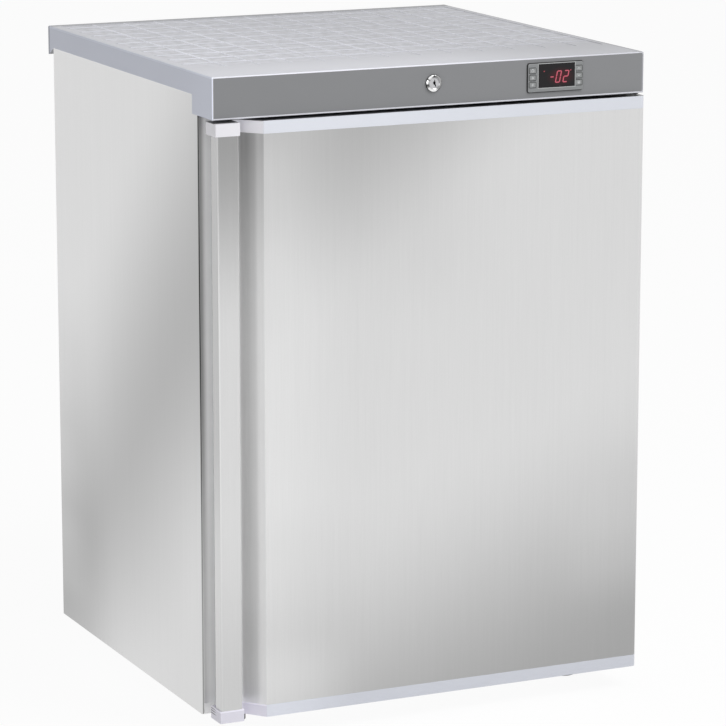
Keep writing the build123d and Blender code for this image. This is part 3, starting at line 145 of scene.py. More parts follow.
class Graph:
    """The nodes of one material or of the world."""

    def __init__(self, owner: bpy.types.Material | bpy.types.World) -> None:
        """Clears the owner's nodes.

        Args:
            owner: What the nodes belong to.
        """
        owner.use_nodes = True
        self.tree = owner.node_tree
        self.tree.nodes.clear()

    def node(
        self,
        kind: str,
        settings: Mapping[str, Any] | None = None,
        sockets: Mapping[str | int, Any] | None = None,
        output: str | int = 0,
    ) -> Signal:
        """Adds a node.

        Args:
            kind: Blender's name for the type of node.
            settings: Its settings, set first; "stops" holds a ramp's places and colours.
            sockets: Values or signals for its inputs, by name or number.
            output: The output that is wanted.

        Returns:
            That output, or an empty signal for a node that ends the tree.
        """
        made = self.tree.nodes.new(kind)
        for key, value in (settings or {}).items():
            if key == "stops":
                self._stops(made, value)
            else:
                setattr(made, key, value)
        for key, value in (sockets or {}).items():
            if isinstance(value, Signal):
                self.tree.links.new(value.socket, made.inputs[key])
            else:
                made.inputs[key].default_value = value
        return Signal(self, made.outputs[output] if made.outputs else None)

    @staticmethod
    def _stops(ramp: bpy.types.Node, stops: Sequence[tuple[float, Colour]]) -> None:
        """Places a colour ramp's stops.

        Args:
            ramp: The ramp's node.
            stops: Place, 0 to 1, and colour of each stop.
        """
        elements = ramp.color_ramp.elements
        while len(elements) < len(stops):
            elements.new(1.0)
        for element, (place, colour) in zip(elements, stops):
            element.position = place
            element.color = colour

    def math(self, operation: str, a: Signal | float, b: Signal | float) -> Signal:
        """Works on two numbers.

        Args:
            operation: The Math node's operation.
            a: First number or signal.
            b: Second number or signal.

        Returns:
            The result.
        """
        return self.node("ShaderNodeMath", {"operation": operation}, {0: a, 1: b})

    def place(self) -> Signal:
        """Place on the object, in metres."""
        return self.node("ShaderNodeTexCoord", output="Object")

    def mapped(
        self,
        scale: float | Sequence[float],
        at: Sequence[float] = (0, 0, 0),
        turn: Sequence[float] = (0, 0, 0),
    ) -> Signal:
        """Place measured from a centre, turned and stretched.

        Args:
            scale: Stretch along each axis, after the turn, or one number for all three.
            at: Centre, in metres.
            turn: Angles about each axis, in degrees.

        Returns:
            The changed place.
        """
        moved = self.node(
            "ShaderNodeVectorMath", {"operation": "SUBTRACT"}, {0: self.place(), 1: tuple(at)}
        )
        angles = tuple(math.radians(a) for a in turn)
        factors = (scale,) * 3 if isinstance(scale, float) else tuple(scale)
        turned = self.node(
            "ShaderNodeMapping", {"vector_type": "POINT"}, {"Vector": moved, "Rotation": angles}
        )
        return self.node(
            "ShaderNodeVectorMath", {"operation": "MULTIPLY"}, {0: turned, 1: factors}
        )

    def noise(self, scale: float | Sequence[float], detail: float = 2.0) -> Signal:
        """Smooth noise from 0 to 1 about 0.5, with features of 1/scale metres."""
        sockets = {"Vector": self.mapped(scale), "Scale": 1.0, "Detail": detail}
        return self.node("ShaderNodeTexNoise", {"noise_dimensions": "3D"}, sockets)

    def cells(self, scale: float) -> Signal:
        """Irregular cells with a random number each.

        Args:
            scale: Cells per metre.

        Returns:
            The number of the cell, 0 to 1.
        """
        sockets = {"Vector": self.mapped(scale), "Scale": 1.0}
        found = self.node("ShaderNodeTexVoronoi", {"feature": "F1"}, sockets, output="Color")
        return self.node("ShaderNodeSeparateColor", sockets={0: found}, output=0)

    def patch(self, at: Sequence[float], size: Sequence[float]) -> Signal:
        """A soft round or oval patch, 1 in its middle and 0 at its rim.

        Args:
            at: Its centre, in metres.
            size: Its half-lengths, in metres.

        Returns:
            The patch's strength.
        """
        sockets = {"Vector": self.mapped([1 / s for s in size], at)}
        kind = {"gradient_type": "SPHERICAL"}
        return self.node("ShaderNodeTexGradient", kind, sockets, output=1).above(0.0, 1.0)

    def along(self, direction: Sequence[float]) -> Signal:
        """The place's measure along a direction."""
        sockets = {0: self.place(), 1: tuple(direction)}
        return self.node("ShaderNodeVectorMath", {"operation": "DOT_PRODUCT"}, sockets, output=1)

    def within(self, steps: Steps) -> Signal:
        """Where every step along its direction has been passed.

        Args:
            steps: The steps, at least one.

        Returns:
            The area's strength, 0 to 1.
        """
        passed = [self.along(direction).above(start, end) for direction, start, end in steps]
        area = passed[0]
        for step in passed[1:]:
            area = area * step
        return area

    def tone(self, shades: Sequence["Shade"]) -> Signal | float:
        """Factor about 1 that a set of shades gives, such as painted light and shade.

        Args:
            shades: The changes.

        Returns:
            The factor.
        """
        total: Signal | float = 1.0
        for shade in shades:
            total = self.within(shade.steps) * shade.change + total
        return total

    def tinted(self, colour: Colour, tints: Sequence["Tint"]) -> Any:
        """A colour with other colours in some areas.

        Args:
            colour: The main colour.
            tints: The other colours, each laid over those before it.

        Returns:
            The colour or signal.
        """
        mixed: Any = colour
        for tint in tints:
            mixed = self.blend(self.within(tint.steps), mixed, tint.colour)
        return mixed

    def reach(self, centre: Sequence[float]) -> Signal:
        """Distance from an axis that runs front to back."""
        flat = self.mapped((1.0, 0.0, 1.0), centre)
        return self.node("ShaderNodeVectorMath", {"operation": "LENGTH"}, {0: flat}, output=1)

    def blend(self, share: Signal | float, first: Any, second: Any) -> Signal:
        """Mixes two colours.

        Args:
            share: Share of the second, 0 to 1.
            first: A colour or signal.
            second: A colour or signal.

        Returns:
            The mixed colour.
        """
        sockets = {0: share, 6: first, 7: second}
        return self.node("ShaderNodeMix", {"data_type": "RGBA"}, sockets, output=2)

    def shaded(self, colour: Colour | Signal, tone: Signal) -> Signal:
        """Makes a colour lighter or darker.

        Args:
            colour: The colour or signal.
            tone: The factor, about 1.

        Returns:
            The changed colour.
        """
        base = colour if isinstance(colour, Signal) else tuple(colour[:3])
        sockets = {0: base, "Scale": tone}
        return self.node("ShaderNodeVectorMath", {"operation": "SCALE"}, sockets)

    def bump(self, height: Signal, depth: float) -> Signal:
        """Normal that a height from 0 to 1 over a depth in metres gives."""
        return self.node("ShaderNodeBump", sockets={"Height": height, "Distance": depth})

    def surface(self, **sockets: Any) -> None:
        """Ends the material in a Principled shader.

        Args:
            **sockets: Its inputs, with underscores for the spaces in their names.
        """
        named = {key.replace("_", " "): value for key, value in sockets.items()}
        shader = self.node("ShaderNodeBsdfPrincipled", sockets=named)
        self.node("ShaderNodeOutputMaterial", sockets={"Surface": shader})


# ---------------------------------------------------------------- finishes

BUILT: dict[str, bpy.types.Material] = {}


class Grain(Enum):
    """Which way a sheet is brushed."""

    UPRIGHT = (900.0, 900.0, 14.0)
    ALONG_FRONT = (14.0, 900.0, 900.0)


@dataclass(frozen=True)
class Shade:
    """A lighter or darker area, where every step along its direction has been passed: painted
    light or shade in a colour, or less metal in a dull area.
    """

    change: float
    steps: Steps


@dataclass(frozen=True)
class Tint:
    """Another colour, where every step along its direction has been passed."""

    colour: Colour
    steps: Steps


@dataclass(frozen=True)
class Finish:
    """A surface finish, which paints its own material."""

    name: str
    colour: Colour

    def material(self) -> bpy.types.Material:
        """Gives the finish's material, which is made the first time.

        Returns:
            The material.
        """
        if self.name not in BUILT:
            BUILT[self.name] = bpy.data.materials.new(self.name)
            self.paint(Graph(BUILT[self.name]))
        return BUILT[self.name]

    def paint(self, graph: Graph) -> None:
        """Fills the material's nodes, in each kind of finish."""
        raise NotImplementedError


@dataclass(frozen=True)
class BrushedSteel(Finish):
    """Brushed stainless or anodised sheet, with a fine grain and broad soft changes of tone, which
    are painted reflections and shade.
    """

    grain: Grain = Grain.UPRIGHT
    roughness: float = 0.34
    gloss_spread: tuple[float, float] = (0.10, 0.05)
    streaks: float = 0.065
    specks: float = 0.022
    clouding: float = 0.02
    depth: float = 0.02 * MM
    # painted reflections and shade, laid into the base colour
    shades: tuple[Shade, ...] = ()
    dull: tuple[Shade, ...] = ()

    def paint(self, graph: Graph) -> None:
        """Fills the material's nodes.

        Args:
            graph: The material's graph.
        """
        scale = self.grain.value
        fine = graph.noise(scale, detail=3.0)
        coarse = graph.noise([s * 0.22 for s in scale])
        speck = graph.noise(420.0, detail=1.0)
        clouds = graph.noise((3.1, 3.1, 2.2), detail=1.0)
        tone = 1.0 + (fine - 0.5) * self.streaks + (coarse - 0.5) * (0.6 * self.streaks)
        tone = tone + (speck - 0.5) * self.specks + (clouds - 0.5) * self.clouding
        gloss = (fine - 0.5) * self.gloss_spread[0] + (clouds - 0.5) * self.gloss_spread[1]
        graph.surface(
            Base_Color=graph.shaded(self.colour, tone * graph.tone(self.shades)),
            Metallic=graph.tone(self.dull),
            Roughness=gloss + self.roughness,
            Normal=graph.bump(fine * 0.7 + speck * 0.3, self.depth),
        )


@dataclass(frozen=True)
class Moulding(Finish):
    """Moulded or coated plastic with a faint mottle and a fine surface."""

    roughness: float = 0.45
    gloss_spread: float = 0.12
    texture: float = 1400.0
    depth: float = 0.015 * MM
    mottle: float = 0.03
    coat: float = 0.0
    coat_roughness: float = 0.12
    specular: float = 0.5
    tints: tuple[Tint, ...] = ()
    # painted light and shade, laid into the base colour
    shades: tuple[Shade, ...] = ()

    def paint(self, graph: Graph) -> None:
        """Fills the material's nodes.

        Args:
            graph: The material's graph.
        """
        texture = graph.noise(self.texture)
        mottle = graph.noise(24.0, detail=3.0)
        tone = 1.0 + (mottle - 0.5) * self.mottle + (texture - 0.5) * self.mottle
        colour = graph.tinted(self.colour, self.tints)
        graph.surface(
            Base_Color=graph.shaded(colour, tone * graph.tone(self.shades)),
            Roughness=self.roughness + (mottle - 0.5) * self.gloss_spread,
            Specular_IOR_Level=self.specular,
            Coat_Weight=self.coat,
            Coat_Roughness=self.coat_roughness,
            Normal=graph.bump(texture, self.depth),
        )


@dataclass(frozen=True)
class GridTop(Finish):
    """Worktop plastic: hammered squares with lighter lines raised round them."""

    top_z: float = 0.85
    relief: float = 0.4 * MM
    field: Steps = (
        (ACROSS, -0.2845, -0.2835),
        (ACROSS, 0.2870, 0.2865),
        (BACK, -0.1975, -0.1970),
        (BACK, 0.2775, 0.2770),
        (UP, 0.8490, 0.8492),
    )
    first: tuple[float, float] = (-0.2421, -0.1531)
    pitch: tuple[float, float] = (44.8 * MM, 45.4 * MM)
    half_line: float = 2.7 * MM
    line_tones: tuple[float, float] = (0.46, 0.13)
    # painted light on the walls of the raised lines, which takes away their shade
    wall_painted_light: float = 0.9
    hammered: Steps = ((BACK, -0.24, -0.10),)
    hammer_tone: float = 0.36
    hammer_depth: float = 0.12 * MM
    roughness: float = 0.36
    faded: Steps = ((BACK, -0.20, -0.08),)
    tints: tuple[Tint, ...] = ()
    # painted light and shade, laid into the base colour
    shades: tuple[Shade, ...] = ()

    def lines(self, graph: Graph, direction: Direction, first: float, pitch: float) -> Signal:
        """Evenly spaced lines across a direction.

        Args:
            graph: The material's graph.
            direction: The direction that the lines are spaced along.
            first: Place of one line, in metres.
            pitch: Their spacing, in metres.

        Returns:
            1 on the lines, 0 between them.
        """
        away = graph.math("PINGPONG", graph.along(direction) - first, pitch / 2)
        return away.above(self.half_line, 0.6 * self.half_line)

    def paint(self, graph: Graph) -> None:
        """Fills the material's nodes.

        Args:
            graph: The material's graph.
        """
        height = graph.along(UP)
        wall = height.above(self.top_z - 0.1 * self.relief, self.top_z - 0.3 * self.relief)
        wall = wall * height.above(self.top_z - 0.95 * self.relief, self.top_z - 0.8 * self.relief)
        field = graph.within(self.field)
        along = self.lines(graph, ACROSS, self.first[0], self.pitch[0]) * field
        across = self.lines(graph, BACK, self.first[1], self.pitch[1]) * field
        lines = graph.math("MAXIMUM", along, across)
        worked = graph.within(self.hammered) * field * (1.0 - lines)
        hammer = graph.noise(80.0)
        broad = graph.noise((26.0, 10.0, 26.0))
        fine = graph.noise(1300.0, detail=1.0)
        worn = 0.6 + 0.4 * graph.noise((40.0, 14.0, 40.0)).above(0.3, 0.6)
        worn = worn * (0.45 + 0.55 * graph.within(self.faded))
        pits = (hammer.above(0.3, 0.7) - 0.5) * self.hammer_tone * worked
        tone = 1.0 + pits + (broad - 0.5) * 0.05 + (fine - 0.5) * 0.03
        tone = tone + along * worn * self.line_tones[0] + across * worn * self.line_tones[1]
        # painted light on the walls of the raised lines
        tone = tone + wall * field * self.wall_painted_light
        colour = graph.tinted(self.colour, self.tints)
        graph.surface(
            Base_Color=graph.shaded(colour, tone * graph.tone(self.shades)),
            Roughness=self.roughness + 0.10 * worked * (hammer - 0.2),
            Normal=graph.bump(hammer * worked + fine * 0.15, self.hammer_depth),
        )


@dataclass(frozen=True)
class Polished(Finish):
    """Polished or plated metal with faint wiping marks."""

    roughness: float = 0.10
    gloss_spread: float = 0.08
    depth: float = 0.004 * MM
    wear: float = 0.05
    # painted shade, laid into the base colour
    shades: tuple[Shade, ...] = ()

    def paint(self, graph: Graph) -> None:
        """Fills the material's nodes.

        Args:
            graph: The material's graph.
        """
        wipe = graph.noise((180.0, 900.0, 60.0), detail=3.0)
        dust = graph.noise(90.0)
        tone = (1.0 + (dust - 0.5) * self.wear) * graph.tone(self.shades)
        graph.surface(
            Base_Color=graph.shaded(self.colour, tone),
            Metallic=1.0,
            Roughness=self.roughness + (wipe - 0.5) * self.gloss_spread,
            Normal=graph.bump(wipe, self.depth),
        )


@dataclass(frozen=True)
class TurnedChrome(Finish):
    """Polished turned ring with painted reflections: light and dark bands round its axis, and
    painted shade on its outer rim.
    """

    centre: tuple[float, float, float] = (0.0, 0.0, 0.0)
    # painted reflections: place on a turn, 0 to 1, and tone
    bands: tuple[tuple[float, float], ...] = ()
    lip: tuple[float, float] = (8.2 * MM, 7.4 * MM)
    lip_share: float = 0.75
    rim: tuple[float, float] = (10.3 * MM, 10.9 * MM)
    rim_share: float = 0.8
    # painted shadow on the outer rim
    rim_shadow_colour: Colour = grey(60)
    roughness: float = 0.14
    gloss_spread: float = 0.08
    depth: float = 0.003 * MM

    def paint(self, graph: Graph) -> None:
        """Fills the material's nodes.

        Args:
            graph: The material's graph.
        """
        facing = graph.mapped(1.0, self.centre, (-90.0, 0.0, 0.0))
        kind = {"gradient_type": "RADIAL"}
        turn = graph.node("ShaderNodeTexGradient", kind, {"Vector": facing}, output=1)
        stops = [(place, (tone, tone, tone, 1.0)) for place, tone in self.bands]
        band = graph.node("ShaderNodeValToRGB", {"stops": stops}, {"Fac": turn})
        reach = graph.reach(self.centre)
        band = graph.blend(reach.above(*self.lip) * self.lip_share, band, self.colour)
        # painted shadow on the outer rim
        band = graph.blend(reach.above(*self.rim) * self.rim_share, band, self.rim_shadow_colour)
        wipe = graph.noise(500.0)
        graph.surface(
            Base_Color=graph.shaded(band, 0.95 + (wipe - 0.5) * 0.1),
            Metallic=1.0,
            Roughness=self.roughness + (wipe - 0.5) * self.gloss_spread,
            Normal=graph.bump(wipe, self.depth),
        )


@dataclass(frozen=True)
class Galvanised(Finish):
    """Zinc-coated sheet with its spangle."""

    metallic: float = 0.85
    roughness: float = 0.38
    gloss_spread: float = 0.14
    depth: float = 0.01 * MM

    def paint(self, graph: Graph) -> None:
        """Fills the material's nodes.

        Args:
            graph: The material's graph.
        """
        spangle = graph.cells(130.0)
        fleck = graph.noise(700.0)
        tone = 0.94 + spangle * 0.12 + (fleck - 0.5) * 0.05
        graph.surface(
            Base_Color=graph.shaded(self.colour, tone),
            Metallic=self.metallic,
            Roughness=self.roughness + spangle * self.gloss_spread,
            Normal=graph.bump(fleck, self.depth),
        )


@dataclass(frozen=True)
class FoamFill(Finish):
    """Rigid foam with its skin of small cells."""

    roughness: float = 0.85
    depth: float = 0.3 * MM

    def paint(self, graph: Graph) -> None:
        """Fills the material's nodes.

        Args:
            graph: The material's graph.
        """
        cells = graph.cells(600.0)
        graph.surface(
            Base_Color=graph.shaded(self.colour, 0.9 + cells * 0.2),
            Roughness=self.roughness,
            Normal=graph.bump(cells, self.depth),
        )


@dataclass(frozen=True)
class DisplayWindow(Finish):
    """Dark smooth window with the glow of the figures behind it."""

    glow: Colour = BLACK
    glow_at: tuple[float, float, float] = (0.0, 0.0, 0.0)
    glow_size: tuple[float, float, float] = (0.023, 0.1, 0.014)
    roughness: float = 0.12
    gloss_spread: float = 0.06
    specular: float = 0.25

    def paint(self, graph: Graph) -> None:
        """Fills the material's nodes.

        Args:
            graph: The material's graph.
        """
        dust = graph.noise(500.0)
        halo = graph.patch(self.glow_at, self.glow_size)
        graph.surface(
            Base_Color=graph.shaded(self.colour, 0.9 + dust * 0.2),
            Roughness=self.roughness + dust * self.gloss_spread,
            Specular_IOR_Level=self.specular,
            Emission_Color=graph.blend(halo, BLACK, self.glow),
            Emission_Strength=1.0,
        )


@dataclass(frozen=True)
class Glow(Finish):
    """Lit figures of the display."""

    strength: float = 1.0
    unlit: Colour = srgb(70, 10, 16)
    roughness: float = 0.4

    def paint(self, graph: Graph) -> None:
        """Fills the material's nodes.

        Args:
            graph: The material's graph.
        """
        flicker = 0.9 + graph.noise(900.0, detail=1.0) * 0.2
        graph.surface(
            Base_Color=graph.shaded(self.unlit, flicker),
            Roughness=self.roughness,
            Emission_Color=graph.shaded(self.colour, flicker),
            Emission_Strength=self.strength,
        )


LOCK_AXIS = (0.0, -0.2865, 0.826)
FLANGE: Steps = ((BACK, -0.2390, -0.2395),)
FLANGE_EDGE: Steps = (*FLANGE, (ACROSS, -0.2895, -0.2985))
RECESS: Steps = ((ACROSS, -0.2340, -0.2350),)
DOOR_FRONT: Steps = ((ACROSS, -0.2350, -0.2340),)
HANDLE_BLOCK: Steps = ((ACROSS, -0.2345, -0.2350),)
BLOCK_SIDE: Steps = (*HANDLE_BLOCK, (ACROSS, -0.2680, -0.2670))
HANDLE_INSIDE: Steps = ((ACROSS, -0.2705, -0.2695),)
TOP_FACE: Steps = ((UP, 0.8480, 0.8485),)
CHEEK_FRONT: Steps = ((UP, 0.7992, 0.7997), (UP, 0.8468, 0.8464))
GRIP_END: Steps = ((ACROSS, -0.2980, -0.2985), (BACK, -0.2860, -0.2740))
# Heights of the dark lines painted on the grip's end: painted shade of grooves, which have no
# shape of their own.
GRIP_GROOVE_SHADOWS = (0.0370, 0.0402, 0.0434)

SHEET = BrushedSteel(
    "brushed_side_sheet",
    grey(224),
    shades=(
        # Painted reflections: a darker diagonal band over the side, which stops at the front
        # flange, and soft lighter and darker patches lower down.
        Shade(
            -0.385,
            (
                ((0.0, -2.4, -2.2), -1.655, -0.655),
                ((0.0, 2.2, 2.5), -0.135, 0.865),
                (BACK, -0.2395, -0.2390),
            ),
        ),
        Shade(-0.07, ((UP, 0.34, 0.10), (BACK, 0.10, -0.15))),
        Shade(-0.07, ((BACK, 0.13, 0.25), (UP, 0.24, 0.32), (UP, 0.52, 0.40))),
        Shade(0.07, ((BACK, 0.13, 0.24), (UP, 0.04, 0.09), (UP, 0.20, 0.14))),
        Shade(-0.09, ((UP, 0.40, 0.16), (BACK, 0.05, 0.20))),
        # Painted shade on the front flange, darkest by the side's edge and deeper from the middle
        # height up, with painted light over the whole flange.
        Shade(-0.36, FLANGE_EDGE),
        Shade(-0.56, (*FLANGE_EDGE, (UP, 0.10, 0.48))),
        Shade(0.30, FLANGE),
        # A painted shade line along the front fold, and a painted highlight along the top edge.
        Shade(-0.45, ((BACK, -0.2376, -0.2382), (ACROSS, -0.2988, -0.2994))),
        Shade(0.12, ((UP, 0.8203, 0.8207),)),
    ),
    dull=(Shade(-0.7, ((BACK, -0.2385, -0.2390),)),),
)
DOOR_SHEET = BrushedSteel(
    "brushed_door_sheet",
    grey(221),
    shades=(
        # Painted reflections: darker at the top left and the bottom right of the front, with
        # softer lighter and darker patches.
        Shade(-0.30, (((-1.0, 0.0, 1.55), 0.98, 1.38), *DOOR_FRONT)),
        Shade(-0.47, (((0.36, 0.0, -1.0), -0.345, 0.06),)),
        Shade(0.08, ((ACROSS, -0.10, -0.24),)),
        Shade(0.09, ((ACROSS, -0.15, -0.2335), (UP, 0.52, 0.64), (UP, 0.79, 0.72))),
        Shade(-0.065, ((ACROSS, -0.19, -0.09), (ACROSS, 0.12, -0.04), (UP, 0.50, 0.66))),
        Shade(0.06, ((ACROSS, 0.14, 0.26), (UP, 0.10, 0.18), (UP, 0.32, 0.22))),
        Shade(-0.05, ((ACROSS, -0.06, -0.20), (UP, 0.08, 0.16), (UP, 0.32, 0.24))),
        Shade(0.10, ((ACROSS, -0.08, -0.19), (UP, 0.14, 0.06))),
        # Painted shade and light in the finger pocket: darker towards the top and across its
        # middle, lighter by its outer edge and in its depth.
        Shade(-0.56, (*RECESS, (UP, 0.50, 0.80))),
        Shade(-0.15, ((ACROSS, -0.2535, -0.2490), (ACROSS, -0.2390, -0.2440))),
        Shade(0.13, (*RECESS, (ACROSS, -0.2420, -0.2370))),
        Shade(-0.10, ((ACROSS, -0.2440, -0.2520), (UP, 0.18, 0.34))),
        Shade(0.05, (*RECESS, (UP, 0.30, 0.18))),
        Shade(0.26, ((ACROSS, -0.2340, -0.2420), (BACK, -0.2925, -0.2850))),
    ),
    dull=(Shade(-0.65, ((ACROSS, -0.2335, -0.2355),)),),
)
HANDLE_METAL = BrushedSteel(
    "satin_handle",
    grey(220),
    roughness=0.32,
    shades=(
        # Painted reflection that darkens the top of the front face, painted shade low down and on
        # the left wall, and painted light on the inside face next to the pocket.
        Shade(-0.50, ((UP, 0.52, 0.79), (BACK, -0.2955, -0.2962))),
        Shade(-0.16, ((UP, 0.30, 0.05),)),
        Shade(-0.26, ((ACROSS, -0.2972, -0.2980), (UP, 0.16, 0.42))),
        Shade(0.24, HANDLE_INSIDE),
    ),
    dull=(Shade(-0.65, HANDLE_INSIDE),),
)
ZINC = Galvanised("galvanised_sheet", srgb(190, 193, 196))
TOP_PLASTIC = GridTop(
    "worktop_plastic_grid",
    srgb(197, 198, 205),
    # The rim's left side is painted bluer and lighter, for the light that falls on it.
    tints=(Tint(srgb(206, 210, 223), ((ACROSS, -0.2987, -0.2992),)),),
    shades=(
        # Painted light and shade: darker towards the back right and the front right, a lighter
        # front band, painted highlights along the front and left edges, and painted shade along
        # the rear and right edges.
        Shade(-0.24, (((1.0, 0.6, 0.0), -0.40, 0.26), *TOP_FACE)),
        Shade(0.12, ((BACK, -0.18, -0.27), *TOP_FACE)),
        Shade(-0.20, ((BACK, -0.10, -0.25), (ACROSS, 0.0, 0.25), *TOP_FACE)),
        Shade(0.30, ((BACK, -0.2850, -0.2856), (UP, 0.8475, 0.8480))),
        Shade(0.26, ((BACK, -0.2860, -0.2863), (UP, 0.8475, 0.8470))),
        Shade(-0.50, ((BACK, 0.2800, 0.2830), (ACROSS, -0.2990, -0.2985))),
        Shade(-0.45, ((BACK, 0.2905, 0.2920), (ACROSS, -0.2988, -0.2992))),
        Shade(-0.22, ((ACROSS, 0.2930, 0.2950),)),
        Shade(-0.40, ((ACROSS, 0.2965, 0.2972), (BACK, -0.2850, -0.2856), *CHEEK_FRONT)),
        Shade(0.12, ((ACROSS, -0.2975, -0.2985), (UP, 0.8470, 0.8476))),
        Shade(0.07, ((ACROSS, -0.2985, -0.2995), (BACK, -0.18, -0.27))),
    ),
)
WHITE_PLASTIC = Moulding(
    "white_moulding",
    srgb(223, 226, 234),
    roughness=0.32,
    coat=0.2,
    tints=(Tint(srgb(234, 233, 238), HANDLE_BLOCK),),
    shades=(
        # Painted shadow on the top face in the gap under the fascia, painted light in the recess
        # beside the handle block, and painted shade towards the right.
        Shade(-0.88, ((UP, 0.7928, 0.7932), (BACK, -0.2926, -0.2914))),
        Shade(0.15, BLOCK_SIDE),
        Shade(-0.09, ((ACROSS, -0.20, 0.25),)),
    ),
)
# Painted shade: the lower cap is a darker, bluer copy of the top cap's white, for the weaker light
# low down.
SHADED_LOWER_CAP_PLASTIC = Moulding(
    "white_moulding_lower_shaded",
    srgb(219, 222, 231),
    roughness=0.32,
    coat=0.2,
    tints=(Tint(srgb(222, 220, 231), HANDLE_BLOCK),),
    shades=(
        # Painted shade towards the right, painted light in the recess beside the handle block, a
        # painted highlight on the block's top edge, and dark lines painted for the shade of
        # grooves on the grip's end.
        Shade(-0.15, ((ACROSS, -0.22, -0.10),)),
        Shade(0.12, BLOCK_SIDE),
        Shade(0.25, (*HANDLE_BLOCK, (UP, 0.0434, 0.0438))),
        *(
            Shade(-0.8, (*GRIP_END, (UP, z - 0.0010, z - 0.0006), (UP, z + 0.0010, z + 0.0006)))
            for z in GRIP_GROOVE_SHADOWS
        ),
    ),
)
TRIM_PLASTIC = Moulding("white_trim", grey(246), roughness=0.32, coat=0.2)
LINER_PLASTIC = Moulding("liner_plastic", srgb(236, 237, 238), roughness=0.3, coat=0.15)
FASCIA_FILM = Moulding(
    "fascia_film", srgb(134, 135, 137), roughness=0.5, mottle=0.015, specular=0.3
)
BEZEL_PLASTIC = Moulding(
    "controller_bezel",
    srgb(132, 134, 135),
    roughness=0.42,
    # Painted shade on the case's side walls, which gives it a dark outline.
    shades=(Shade(-0.8, ((BACK, -0.2885, -0.2881),)),),
)
KEY_PLASTIC = Moulding("key_plastic", srgb(138, 140, 140), roughness=0.4)
# Dark print round the keys, which also stands in for the shade in their gaps.
KEY_PRINT_AND_SHADE = Moulding("key_print_and_shade", srgb(66, 68, 69), roughness=0.5)
SYMBOL_INK = Moulding("key_symbol", srgb(212, 214, 215), roughness=0.5)
FRAME_PLASTIC = Moulding("window_frame_plastic", srgb(176, 178, 178), roughness=0.4)
WINDOW = DisplayWindow("display_window", srgb(26, 24, 26), glow=srgb(66, 0, 10))
FIGURES = Glow("display_figures", srgb(200, 92, 110), strength=0.85)
LAMP = Glow("display_lamp", srgb(186, 74, 84), strength=0.7)
COLLAR_CHROME = TurnedChrome(
    "lock_collar_chrome",
    srgb(168, 168, 170),
    centre=LOCK_AXIS,
    # Painted reflections: light and dark by share of a turn round the collar.
    bands=(
        (0.00, 0.80), (0.03, 0.03), (0.075, 0.30), (0.11, 0.95),
        (0.29, 1.0), (0.36, 0.30), (0.50, 0.45), (0.68, 0.40),
        (0.73, 0.20), (0.75, 0.02), (0.785, 0.30), (0.83, 1.0),
        (0.885, 1.0), (0.914, 0.06), (0.945, 1.0), (1.00, 0.80),
    ),
)
PLUG_CHROME = Polished(
    "lock_plug_chrome",
    srgb(200, 200, 202),
    roughness=0.24,
    # Painted shade in the keyway, darker with depth.
    shades=(Shade(-0.97, ((BACK, LOCK_AXIS[1] - 2.0 * MM, LOCK_AXIS[1] - 0.8 * MM),)),),
)
PLATED = Polished("plated_steel", srgb(190, 191, 190), roughness=0.3, wear=0.12)
# Dark plating on the hinge brackets, which also stands in for the shade in the gap under the
# fascia.
DARK_PLATING_AND_SHADE = Polished("dark_plating_and_shade", srgb(62, 62, 64), roughness=0.35, wear=0.2)
SEAL = Moulding("seal_plastic", srgb(222, 223, 224), roughness=0.6)
BLACK_ENAMEL = Moulding("black_enamel", srgb(28, 28, 30), roughness=0.35, mottle=0.1)
BLACK_PLASTIC = Moulding("black_plastic", srgb(38, 38, 40), roughness=0.5, mottle=0.1)
RUBBER = Moulding("black_rubber", grey(30), roughness=0.75, mottle=0.2)
COPPER = Polished("copper_pipe", srgb(190, 118, 84), roughness=0.28, wear=0.35)
PLATE_METAL = BrushedSteel("evaporator_plate", srgb(205, 207, 210), grain=Grain.ALONG_FRONT)
COATED_WIRE = Moulding("coated_wire", srgb(232, 233, 232), roughness=0.35)
FOAM = FoamFill("rigid_foam", srgb(228, 210, 160))


# ---------------------------------------------------------------- shaping


def publish(
    shape: Shape,
    name: str,
    body: str,
    finish: Finish,
    stands_for: Sequence[str] = (),
    crease: float = 32.0,
) -> None:
    """Turns a shape into a finished piece on its body.

    Blender's extrusion makes faces in another order in each run, so they are sorted along a
    slanting direction first.

    Args:
        shape: The shape, which is used up.
        name: The piece's name.
        body: The body that it moves with.
        finish: Its finish.
        stands_for: Nodes of the frame that it replaces.
        crease: Edges that turn by more than this, in degrees, stay sharp.
    """
    shape.verts.sort(key=lambda vert: vert.co.dot(SORTING))
    shape.faces.sort(key=lambda face: sum(vert.co.dot(SORTING) ** 2 for vert in face.verts))
    for face in shape.faces:
        face.smooth = True
    for edge in shape.edges:
        edge.smooth = edge.calc_face_angle(0.0) < math.radians(crease)
    mesh = bpy.data.meshes.new(name)
    shape.to_mesh(mesh)
    shape.free()
    mesh.materials.append(finish.material())
    piece = bpy.data.objects.new(name, mesh)
    bpy.context.scene.collection.objects.link(piece)
    weighted = piece.modifiers.new("weighted", "WEIGHTED_NORMAL")
    weighted.keep_sharp = True
    weighted.weight = 100
    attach(piece, body)
    if stands_for:
        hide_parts(*stands_for)
    LOG.info("%s: %d faces on %s", name, len(mesh.polygons), body)


